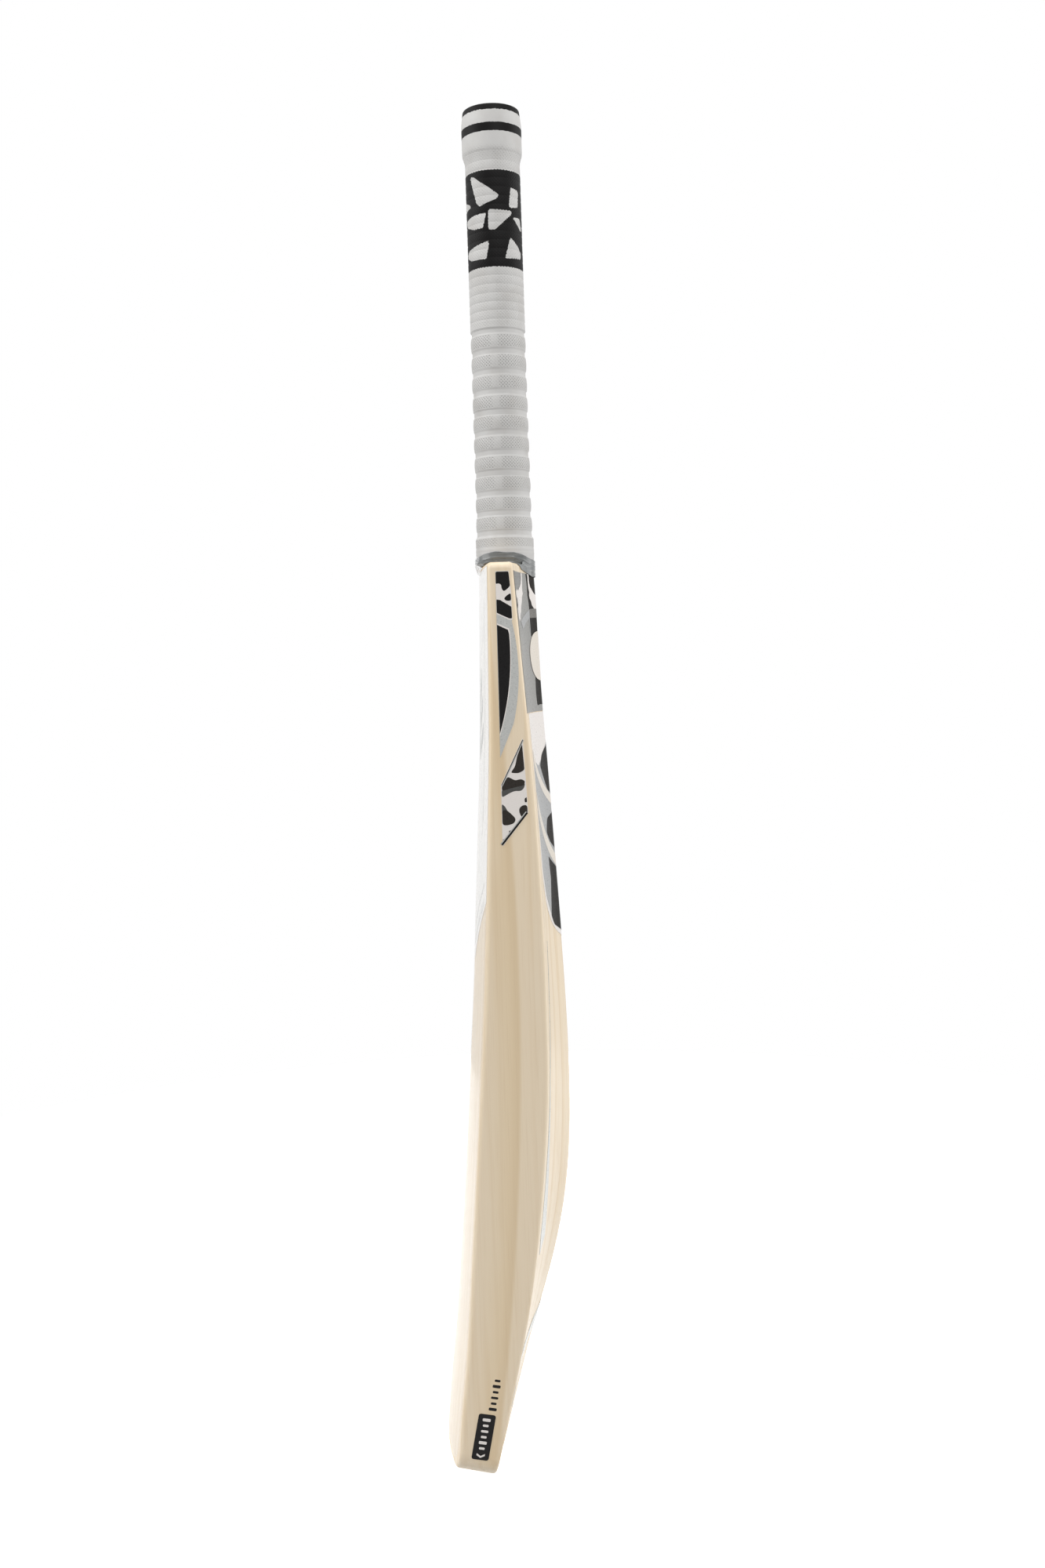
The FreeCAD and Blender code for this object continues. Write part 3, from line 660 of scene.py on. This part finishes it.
def ink_distance(angle, z):
    """How far in millimetres a point of the grip is outside its black print."""
    half_turn = math.pi * PRINT_RADIUS
    around = (angle * PRINT_RADIUS + half_turn / 2) % half_turn - half_turn / 2
    spots = np.stack([around.ravel(), z.ravel()], axis=1)
    shards = np.full(len(spots), np.inf)
    for shard in SHARDS:
        for shift in (-half_turn, 0, half_turn):
            moved = [(s + shift, height) for s, height in softened(shard, 0.9, 2)]
            shards = np.minimum(shards, outline_distance(spots, moved))
    collar, second, barrel = (
        np.abs(z - (top + foot) / 2) - (top - foot) / 2 for top, foot in zip(BAND_TOPS, BAND_FEET)
    )
    torn = np.maximum(barrel, -shards.reshape(z.shape))
    return np.minimum(np.minimum(collar, second), torn)


def rubber_grip():
    """The moulded grip: every ring, groove and raised diamond is in its mesh."""
    rings = LAST_RING + RING_PITCH * np.arange(RINGS)
    beside = np.array([-0.8, -0.4, 0.0, 0.4, 0.8, RING_PITCH / 2])
    ring_rows = np.sort((rings[:, None] + beside).ravel())[::-1]
    ring_rows = ring_rows[(ring_rows > LAST_RING - 0.1) & (ring_rows < -1.0)]
    knurl_rows = np.arange(LAST_RING, GRIP_FOOT, -KNURL_PITCH / 4)[1:]
    heights = np.concatenate([[0, -0.12, -0.35, -0.7], ring_rows, knurl_rows, [GRIP_FOOT]])
    angles = 2 * math.pi * np.arange(COLUMNS) / COLUMNS
    z, angle = np.meshgrid(heights, angles, indexing="ij")
    radius, fields = grip_shape(angle, z)
    outer = round_handle(radius, angle, z)
    bore_z, bore_angle = np.meshgrid([GRIP_FOOT, 0.0], angles, indexing="ij")
    bore = round_handle(GRIP_BORE, bore_angle, bore_z)
    made = ring_shell("grip_moulding", outer, bore, RUBBER)
    ink = np.concatenate([ink_distance(angle, z), np.full(bore_z.shape, UNPRINTED)])
    knurled = np.concatenate([fields, np.zeros(bore_z.shape)])
    for label, values in (("ink", ink), ("knurled", knurled)):
        made.data.attributes.new(label, "FLOAT", "POINT").data.foreach_set(
            "value", values.ravel().astype(np.float32)
        )
    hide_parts("rubber_grip")


rubber_grip()


# ---------------------------------------- the shoulder


OUTSIDE = 60.0
TAPE_COLUMNS = 180
TAPE_SHEET = 0.3
TAPE_RADIUS = 18.8
TAPE_FOOT = -278.1
TAPE_TAIL = 6.5
TAPE_LAP = 3.9
TAPE_EDGE = 0.06
TAIL_REACH, TAIL_COLUMNS, TAIL_ROWS, TAIL_SHEET = 29.0, 64, 28, 0.35
SHOULDER_TOP = -278.6
TAPE_TOP = (
    (-180, -274.6), (-120, -274.6), (-90, -274.0), (-70, -273.0), (-50, -271.3), (-32, -269.9),
    (-14, -270.0), (0, -270.7), (15, -270.9), (30, -271.9), (45, -273.7), (60, -275.0),
    (75, -275.5), (90, -275.7), (120, -275.2), (180, -274.6),
)


def blade_radius(angles, heights):
    """The blade's distance from the handle's axis, or 0 above its shoulder."""
    blade = surface_of("blade")
    found = np.zeros(heights.shape)
    for (i, j), height in np.ndenumerate(heights):
        way = Vector((math.cos(angles[j]), math.sin(angles[j]), 0))
        start = way * (OUTSIDE * MM) + Vector((0, 0, height * MM))
        hit = blade.ray_cast(start, -way)[0]
        if hit is not None:
            found[i, j] = hit.xy.length / MM
    return found


def rounded_through(knots, angles):
    """A periodic height near knots of degrees and millimetres, with its bends rounded."""
    turns, heights = np.array(knots, float).T
    shifts = np.array([-6, -3, 0, 3, 6])[:, None]
    degrees = (np.degrees(angles) + shifts + 180) % 360 - 180
    return np.interp(degrees, turns, heights).mean(axis=0)


def shoulder_tape():
    """Two slanting turns of tape over the grip's foot, with the loose end down the back."""
    angles = 2 * math.pi * np.arange(TAPE_COLUMNS) / TAPE_COLUMNS
    top = rounded_through(TAPE_TOP, angles)
    top = top + 0.14 * np.sin(5 * angles + 0.7) + 0.1 * np.sin(13 * angles)
    from_back = np.degrees(angles) - 92
    hang = smooth((from_back + 56) / 34) * smooth((40 - from_back) / 8)
    foot = TAPE_FOOT - TAPE_TAIL * hang
    shares = np.concatenate([np.linspace(0, TAPE_EDGE, 3), np.linspace(0.1, 1.0, 24)])
    heights = top + (foot - top) * shares[:, None]
    radii = TAPE_RADIUS - 0.03 * (top - heights)

    # The upper turn laps the lower one: a step, a swell above it and a crease below.
    lap = top - TAPE_LAP + 0.25 * np.sin(3 * angles + 1)
    radii = radii - 0.32 * smooth((lap - heights) / 0.45)
    radii = radii + 0.14 * np.exp(-(((heights - lap - 0.6) / 0.5) ** 2))
    radii = radii - 0.22 * np.exp(-(((heights - lap + 2.0) / 0.3) ** 2))
    radii = radii + 0.05 * np.sin(17 * angles + 0.8 * heights) * np.sin(6 * angles - 0.4 * heights)

    # The top edge is rounded, the foot draws in, and on the face side it tucks in further.
    rounding = 1 - np.clip(shares / TAPE_EDGE, 0, 1)
    radii = radii - 0.2 * (1 - np.sqrt(1 - rounding ** 2))[:, None]
    radii = radii - 1.3 * smooth((-279.4 - heights) / 4.5)
    face_side = smooth((-np.sin(angles) - 0.2) / 0.4)
    radii = radii - 2.6 * smooth((-276.5 - heights) / 1.5) * face_side

    # Where wood is close under the tape, the tape lies over it.
    wood, clear = blade_radius(angles, heights), 0.45
    near = (wood > 12) & (wood < 19)
    radii = np.where(near, np.maximum(radii, wood + clear), radii)
    outer = round_handle(radii, angles, heights)
    inner = round_handle(radii - TAPE_SHEET, angles, heights)[::-1]
    made = ring_shell("wound_tape", outer, inner, VINYL)
    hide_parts("shoulder_tape")


def tape_end():
    """The tape's loose end, pressed over the shoulder on to the back of the blade."""
    blade, clear = surface_of("blade"), 0.6
    across = np.linspace(-TAIL_REACH, TAIL_REACH, TAIL_COLUMNS)
    off = np.abs(across)
    foot = -285.4 + 0.3 * np.sin(0.5 * across) + 1.6 * smooth((off - 9) / 6)
    foot = foot + 2.0 * smooth((off - 15) / 8) + 2.3 * smooth((off - 23) / 6)
    top = -276.2 - 2.2 * smooth((off - 15.5) / 2.5)
    share = np.linspace(0, 1, TAIL_ROWS)[:, None]
    z = top + (foot - top) * share
    x = np.broadcast_to(across, z.shape)
    band = np.sqrt(np.clip((TAPE_RADIUS - 0.1) ** 2 - x ** 2, 0, None))
    wood = np.zeros(z.shape)
    for at in np.ndindex(z.shape):
        start = Vector((x[at], OUTSIDE, min(z[at], SHOULDER_TOP))) * MM
        hit = blade.ray_cast(start, Vector((0, -1, 0)))[0]
        wood[at] = hit.y / MM + clear if hit is not None else 0.0
    # The tail lies on the turns of tape, then on the wood below and beside them, without a kink.
    on_wood = (z < SHOULDER_TOP + 1.0) | (off > 17)
    y = np.maximum(band, wood * on_wood)
    for _ in range(2):
        beside = y[:-2, 1:-1] + y[2:, 1:-1] + y[1:-1, :-2] + y[1:-1, 2:]
        y[1:-1, 1:-1] = (beside + 4 * y[1:-1, 1:-1]) / 8
    y = y + 0.07 * np.sin(1.9 * z + 0.4 * x) * smooth((z - foot) / 1.5)
    over = np.stack([x, y, z], axis=-1)[:, ::-1]
    sheet_shell("tape_end", over, np.array([0.0, -TAIL_SHEET, 0.0]), VINYL)


shoulder_tape()
tape_end()


# ---------------------------------------- the prints


def edge_prints(side, word):
    """Torn black shapes on white, then a long black point, on the front half of an edge label."""
    put = onto_edge(side)
    panel = [
        (-9.7, -284.7), (-1.7, -284.7), (-0.6, -297.0), (-0.3, -313.6), (-2.2, -313.6), (-9.7, -309.9),
    ]
    inlay(f"edge_panel_{word}", [panel], put, WHITE, filled=False)
    rim = [(-9.7, -315.4), (-2.6, -318.7)] + bowed((-2.0, -321.0), (-10.1, -383.2), -3.0)
    inlay(f"edge_blade_rim_{word}", [rim], put, WHITE, filled=False)
    block = softened(
        (
            (-9.6, -284.8), (-1.8, -284.8), (-1.1, -293.4), (-3.0, -295.3), (-5.0, -296.6),
            (-6.2, -295.0), (-6.4, -292.6), (-8.0, -291.6), (-9.6, -292.2),
        ),
        0.9,
    )
    lobe = ((-0.9, -297.6), (-0.7, -302.2), (-3.6, -302.3), (-5.2, -300.9), (-3.0, -298.8))
    wedge = (
        (-9.6, -301.3), (-7.4, -301.6), (-0.7, -305.8), (-0.5, -312.7), (-2.1, -312.8), (-9.6, -309.2),
    )
    blade = [(-9.7, -316.3), (-3.2, -319.5)] + bowed((-2.6, -322.0), (-10.1, -381.6), -2.8)
    black = [block, softened(lobe, 1.2), softened(wedge, 0.35), blade]
    inlay(f"edge_black_{word}", black, put, BLACK, 2, False)


def patch_prints(side, word):
    """The white edge patch's black blots, their grey shade and the lines along its two ends."""
    put = onto_edge(side)
    top, front = (3.3, -385.6), (-10.3, -412.7)
    heel, back = (-10.6, -449.3), (5.3, -430.2)
    crest = (
        (3.0, -388.0), (4.0, -404.0), (0.3, -405.8), (-4.5, -405.4), (-1.6, -401.6), (-0.2, -395.4),
    )
    wave = (
        (-6.3, -407.6), (-1.9, -410.1), (1.7, -409.3), (4.2, -410.6), (3.5, -413.2),
        (-1.0, -414.0), (-6.4, -415.2), (-10.0, -416.2), (-10.1, -413.4),
    )
    back_pond = (
        (5.1, -425.6), (2.9, -425.0), (0.2, -426.6), (-0.1, -429.4), (1.6, -433.0), (5.0, -430.6),
    )
    front_pond = (
        (-10.3, -427.8), (-7.3, -427.9), (-2.1, -433.2), (-3.1, -436.0), (-7.1, -437.2), (-10.4, -436.9),
    )
    black = [
        softened(crest, 1.6),
        softened(wave, 1.3),
        softened(back_pond, 1.8),
        softened(front_pond, 2.0),
        softened(((4.8, -420.3), (3.4, -421.4), (3.6, -423.6), (4.9, -423.6)), 0.8),
        softened(((-4.4, -440.2), (-6.7, -440.5), (-6.3, -443.0), (-5.0, -442.6)), 0.6),
        softened(((-10.4, -445.2), (-9.4, -446.2), (-10.4, -447.6)), 0.4),
    ]
    shade = softened(
        (
            (4.1, -411.6), (3.6, -414.6), (1.5, -416.7), (-2.0, -416.4), (-4.7, -417.3),
            (-10.2, -420.2), (-10.2, -415.4), (-1.0, -413.2),
        ),
        1.5,
    )
    haze = softened(((-10.4, -423.8), (-8.2, -426.0), (-6.4, -430.0), (-10.4, -431.4)), 1.4)
    inlay(f"patch_charcoal_{word}", [shade, haze], put, CHARCOAL, 1, False)
    inlay(f"patch_black_{word}", black, put, UMBER, 2, False)

    def stripe(start, end, near, far):
        """A straight band beside the line from start to end, between two offsets from it."""
        start, end = np.array(start), np.array(end)
        run = end - start
        off = np.array([-run[1], run[0]]) / np.linalg.norm(run)
        corners = (start + off * near, end + off * near, end + off * far, start + off * far)
        return [tuple(corner) for corner in corners]

    dark = [stripe(top, front, 0.0, 0.45), stripe(heel, back, 0.0, 1.15)]
    pale = [stripe(top, front, 0.45, 0.95), stripe(heel, back, 1.15, 1.75)]
    inlay(f"patch_lines_dark_{word}", dark, put, BLACK, 4, False)
    inlay(f"patch_lines_pale_{word}", pale, put, SILVER, 3, False)


def toe_prints(side, word):
    """Plain bars on the dark toe badge and on the wood above it, where the real bat has words."""
    put = onto_edge(side)
    centre, lean = np.array((-34.9, -820.0)), math.radians(-11.5)
    up = np.array((-math.sin(lean), math.cos(lean)))
    over = np.array((math.cos(lean), math.sin(lean)))

    def leaned(corners):
        """Corners given across and up the leaning badge from its centre, put on the edge."""
        return [tuple(centre + over * a + up * b) for a, b in corners]

    def bar(u, v, wide, tall):
        ways = ((-1, -1), (1, -1), (1, 1), (-1, 1))
        return softened(leaned([(u + a * wide / 2, v + b * tall / 2) for a, b in ways]), 0.7, 6)

    step = 3.7
    bars = ((5.0, 1.9), (3.6, 1.5), (4.6, 1.5), (3.6, 1.5), (5.0, 1.9), (3.6, 1.5))
    marks = [bar(0.0, 11.2 - step * i, wide, tall) for i, (wide, tall) in enumerate(bars)]
    chevron = [(-2.6, -10.6), (0.0, -12.2), (2.6, -10.6), (2.6, -11.9), (0.0, -13.4), (-2.6, -11.9)]
    marks.append(leaned(chevron))
    inlay(f"toe_marks_{word}", marks, put, WHITE, 1, False)
    dashes = [bar(2.6, 18.4 + step * i, wide, tall) for i, (wide, tall) in enumerate(bars)]
    inlay(f"toe_dashes_{word}", dashes, onto_wood(side), BLACK, 1, False)


for side, word in ((1, "right"), (-1, "left")):
    edge_prints(side, word)
    patch_prints(side, word)
    toe_prints(side, word)


def back_upper_prints():
    """Torn flames in white and black, a grey ring and a pale disc astride the ridge."""
    put = onto_sheet("back_label_upper", 1)
    flame = softened(
        (
            (24.8, -284.3), (26.0, -289.6), (27.2, -293.5), (26.6, -297.0), (29.5, -299.3),
            (31.0, -302.3), (34.2, -305.2), (35.8, -308.2), (40.2, -311.2), (39.2, -314.6),
            (44.5, -312.6), (47.6, -314.8), (48.6, -311.0), (49.6, -305.0), (50.6, -300.2),
            (50.6, -296.5), (43.5, -294.9), (39.0, -295.6), (35.8, -294.2), (32.8, -293.0),
            (29.2, -290.6), (27.6, -287.7), (27.2, -284.3),
        ),
        0.6,
    )
    block = [
        (50.7, -284.3), (28.6, -284.3), (28.2, -287.7), (29.6, -290.2), (33.0, -292.4),
        (36.0, -293.7), (39.0, -295.0), (43.5, -294.3), (50.7, -295.8),
    ]
    sliver = softened(
        ((49.2, -299.7), (46.4, -300.5), (46.4, -304.7), (49.2, -306.7), (49.9, -304.9), (49.6, -301.5)),
        0.5,
    )
    torn = [
        (14.4, -284.3), (13.9, -286.0), (14.1, -288.5), (14.2, -291.4), (13.8, -293.6),
        (13.0, -295.5), (13.6, -297.8), (13.0, -299.4), (11.0, -301.1), (10.2, -303.3),
        (8.2, -304.7), (6.8, -305.5),
    ]
    shade = [
        (14.8, -306.1), (15.0, -302.7), (15.5, -300.3), (16.2, -297.4), (15.8, -292.0), (16.6, -284.3),
    ]
    inner = [
        (0.0, -297.8), (5.5, -296.2), (8.5, -293.9), (11.0, -292.0), (12.0, -289.9), (12.2, -287.4),
        (11.8, -284.3),
    ]
    spine = [(0.0, -284.3)] + inner
    streak = torn + [(0.0, -305.5)] + inner
    ring = softened(
        (
            (38.0, -314.4), (31.8, -312.1), (25.8, -310.0), (19.8, -307.9), (14.9, -306.3),
            (15.3, -311.6), (20.5, -313.3), (25.5, -315.3), (30.0, -317.6), (34.0, -318.5),
        ),
        0.8,
    )
    dim_ring = [(14.9, -306.2), (0.0, -305.6), (0.0, -311.0), (15.3, -311.6)]
    middle = [
        (15.3, -311.6), (0.0, -311.0), (0.0, -326.0), (10.0, -324.0), (14.6, -323.0), (14.9, -319.8),
        (15.1, -315.9),
    ]
    # The glint is a painted highlight: a strip of grey ink beside the black middle, inked with the grey
    # ring.
    glint = [(16.8, -310.0), (15.4, -310.0), (15.5, -320.3), (16.3, -320.3)]
    foot = softened(
        ((12.0, -347.4), (0.0, -349.5), (0.0, -366.0), (8.4, -365.8), (12.8, -366.6), (13.4, -358.0)), 2.0
    )
    turns = np.linspace(0, math.pi, 26)
    disc = [(20.4 * math.sin(t) ** 0.9, -335.2 + 15.8 * math.cos(t)) for t in turns]
    disc += mirrored(disc)[1:-1]
    inlay("back_black", both([spine, torn + shade, middle, foot]), put, JET, 1)
    inlay("back_ash", both([block]), put, ASH, 1)
    inlay("back_grey_ring", both([ring, glint]), put, GREY, 2)
    inlay("back_dim_ring", both([dim_ring]), put, SMOKE, 3)
    inlay("back_white", both([flame, streak]), put, WHITE, 4)
    inlay("back_sliver", both([sliver]), put, JET, 5)
    inlay("back_disc", [disc], put, CREAM, 6)


def back_lower_prints():
    """Grey flanks, two pale chevrons and black fields that close in a bowed point."""
    put = onto_sheet("back_label_lower", 1)
    flanks = softened(
        (
            (40.5, -398.0), (24.0, -404.0), (12.0, -398.0), (0.0, -388.0), (0.0, -505.0),
            (18.0, -500.4), (30.0, -485.4), (37.6, -468.0), (39.8, -450.0), (41.2, -430.0),
        ),
        2.0,
    )
    crown = ((20.0, -404.0), (13.0, -397.0), (0.0, -390.0), (0.0, -424.0), (8.0, -420.0))
    heart = ((14.0, -438.0), (0.0, -434.4), (0.0, -460.0), (10.6, -453.4), (17.4, -446.4))
    keel = (
        (17.4, -461.6), (0.0, -472.0), (0.0, -512.6), (14.6, -505.6), (20.0, -499.0), (15.6, -476.0),
    )
    fields = [softened(crown, 1.2), softened(heart, 2.2), softened(keel, 1.2)]
    upper = bowed((41.2, -400.6), (0.0, -431.0), -2.6) + bowed((0.0, -425.2), (40.8, -392.6), 2.6)
    lower = bowed((41.4, -430.0), (0.0, -471.6), -2.6) + bowed((0.0, -464.4), (41.6, -419.0), 2.6)
    inlay("back_silver", both([flanks]), put, GREY, 1)
    inlay("back_fields", both(fields), put, JET, 2)
    inlay("back_chevrons", both([upper, lower]), put, CREAM, 3)


def face_prints():
    """Pale chevrons that follow the pointed foot of the face label."""
    put = onto_sheet("face_label", -1)

    def chevron(tip, rise, tall, reach):
        """One half of a V with its point at tip, which climbs by rise at reach."""
        return [(0.0, tip), (reach, tip + rise), (reach, tip + rise + tall), (0.0, tip + tall)]

    bands = [chevron(-519.0, 32.0, 5.0, 44.0), chevron(-507.0, 32.0, 2.0, 44.0)]
    badge = [chevron(-400.0 + 17.0 * i, 15.0, 9.0, 22.0 - 5.0 * i) for i in range(3)]
    stripe = [(30.0, -300.0), (32.5, -300.0), (32.5, -430.0), (30.0, -445.0)]
    inlay("face_bands", both(bands), put, MIST, 1)
    inlay("face_badge", both(badge), put, SILVER, 1)
    inlay("face_stripes", both([stripe]), put, MIST, 1)


back_upper_prints()
back_lower_prints()
face_prints()


# ---------------------------------------- the end of the clear film


def crumpled_film():
    """The film's loose end, creased over the tape on the face side of the shoulder."""
    columns, rows, clear = 110, 56, 0.6
    over_tape, no_wood = 19.05, 18.0
    share, way = np.linspace(0, 1, rows)[:, None], np.linspace(0, 1, columns)
    first = -146 + 9 * np.sin(5 * share) - 5 * share
    last = -66 + 5 * np.sin(7 * share + 1) - 9 * share
    angles = np.radians(first + (last - first) * way)
    top = -272.8 + 0.8 * np.sin(9 * angles[0] + 0.5) + 0.3 * np.sin(23 * angles[0])
    foot = -282.6 + 0.8 * np.sin(7 * angles[-1])
    z = top + (foot - top) * share
    wood = np.array([blade_radius(row, level[None])[0] for row, level in zip(angles, z)])
    wood = np.where((wood > 12) & (wood < 30), wood + clear, no_wood)
    lean = smooth((-277.5 - z) / 5.0)
    radius = over_tape * (1 - lean) + wood * lean
    crease = np.sin(31 * angles + 1.1 * z) * np.sin(13 * angles - 0.9 * z + 1.0)
    crease = crease + 0.6 * np.sin(57 * angles - 1.9 * z) * np.sin(0.8 * z + 9 * angles)
    radius = radius + 0.22 * crease * (1 - 0.6 * smooth((-280.0 - z) / 4))
    over = round_handle(radius, angles, z)
    sheet_shell("film_end", over, np.array([0.0, 0.1, 0.0]), CRUMPLED)


crumpled_film()


# ---------------------------------------- CAD nodes


CAD_MATERIALS = {
    "blade": WILLOW,
    "cane_": CANE,
    "spring_strip": STRIP,
    "twine_binding": TWINE,
    "face_label": PALE,
    "face_film": FILM,
    "back_label_upper": SLATE,
    "back_label_lower": WHITE,
    "back_chevron": SILVER,
    "back_stripe": SILVER,
    "edge_label": SILVER,
    "edge_patch": WHITE,
    "toe_label": BLACK,
}


def dress_frame():
    """Gives each CAD node the material listed for the start of its name, if there is one."""
    for name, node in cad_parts.items():
        for start, material in CAD_MATERIALS.items():
            if name.startswith(start):
                node.data.materials.clear()
                node.data.materials.append(material)


dress_frame()


# ---------------------------------------- studio


def lay_floor(height):
    """A round white floor at a height in metres."""
    reach, sides = 1.0, 96
    turns = [2 * math.pi * i / sides for i in range(sides)]
    rim = [(reach * math.cos(t), reach * math.sin(t), height) for t in turns]
    mesh = bpy.data.meshes.new("studio_floor")
    mesh.from_pydata(rim, [], [tuple(range(sides))])
    mesh.materials.append(studio_floor())
    floor = linked("studio_floor", mesh)
    floor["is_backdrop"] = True


def softbox(name, at, aim, wide, tall, power):
    """A rectangular light that faces the point aim."""
    data = bpy.data.lights.new(name, "AREA")
    data.shape, data.size, data.size_y, data.energy = "RECTANGLE", wide, tall, power
    lamp = linked(name, data)
    lamp.location = at
    lamp.rotation_euler = (Vector(aim) - Vector(at)).to_track_quat("-Z", "Y").to_euler()


def surroundings():
    """A white world, dimmer for the light that it sends to the bat than for the camera."""
    world = bpy.data.worlds.new("studio")
    bpy.context.scene.world = world
    world.use_nodes = True
    nodes, links = world.node_tree.nodes, world.node_tree.links
    path = nodes.new("ShaderNodeLightPath")
    level = None
    for ray, drop in (("Is Diffuse Ray", -0.62), ("Is Glossy Ray", -0.15)):
        lower = nodes.new("ShaderNodeMath")
        lower.operation = "MULTIPLY_ADD"
        links.new(path.outputs[ray], lower.inputs[0])
        lower.inputs[1].default_value = drop
        lower.inputs[2].default_value = 1.0
        if level is not None:
            links.new(level, lower.inputs[2])
        level = lower.outputs[0]
    links.new(level, nodes["Background"].inputs["Strength"])
    nodes["Background"].inputs["Color"].default_value = (1, 1, 1, 1)


def studio():
    """A floor just under the toe, and soft light from the face, the back, the front and above."""
    low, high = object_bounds()
    middle = (0, 0, (low[2] + high[2]) / 2)
    lay_floor(low[2] - 0.5 * MM)
    softbox("face_softbox", (0.05, -1.45, 0.35), middle, 1.0, 1.8, 17)
    softbox("back_softbox", (-0.2, 1.5, -0.2), middle, 1.0, 1.8, 11)
    softbox("front_softbox", (1.6, 0.5, 0.9), middle, 1.2, 1.2, 18)
    softbox("top_softbox", (0.0, 0.0, 3.0), middle, 2.0, 2.0, 50)
    surroundings()


def camera():
    """The viewpoint: beside the bat's near edge, a little to the face side and looking down."""
    sensor, lens, nearest = 36.0, 34.2, 0.01
    bearing, fall, roll = math.radians(4.0), math.radians(4.5), math.radians(1.85)
    at = Vector((0.94912, -0.06005, -0.3418))
    right = Vector((math.sin(bearing), math.cos(bearing), 0))
    level = math.cos(fall)
    forward = Vector((-math.cos(bearing) * level, math.sin(bearing) * level, -math.sin(fall)))
    up = right.cross(forward)
    over = right * math.cos(roll) - up * math.sin(roll)
    rise = right * math.sin(roll) + up * math.cos(roll)
    data = bpy.data.cameras.new("camera")
    data.sensor_fit, data.sensor_height, data.lens = "VERTICAL", sensor, lens
    data.clip_start = nearest
    made = linked("camera", data)
    made.matrix_world = Matrix((over, rise, -forward)).transposed().to_4x4()
    made.location = at
    bpy.context.scene.camera = made


studio()
camera()
bpy.context.scene.view_settings.view_transform = "Standard"
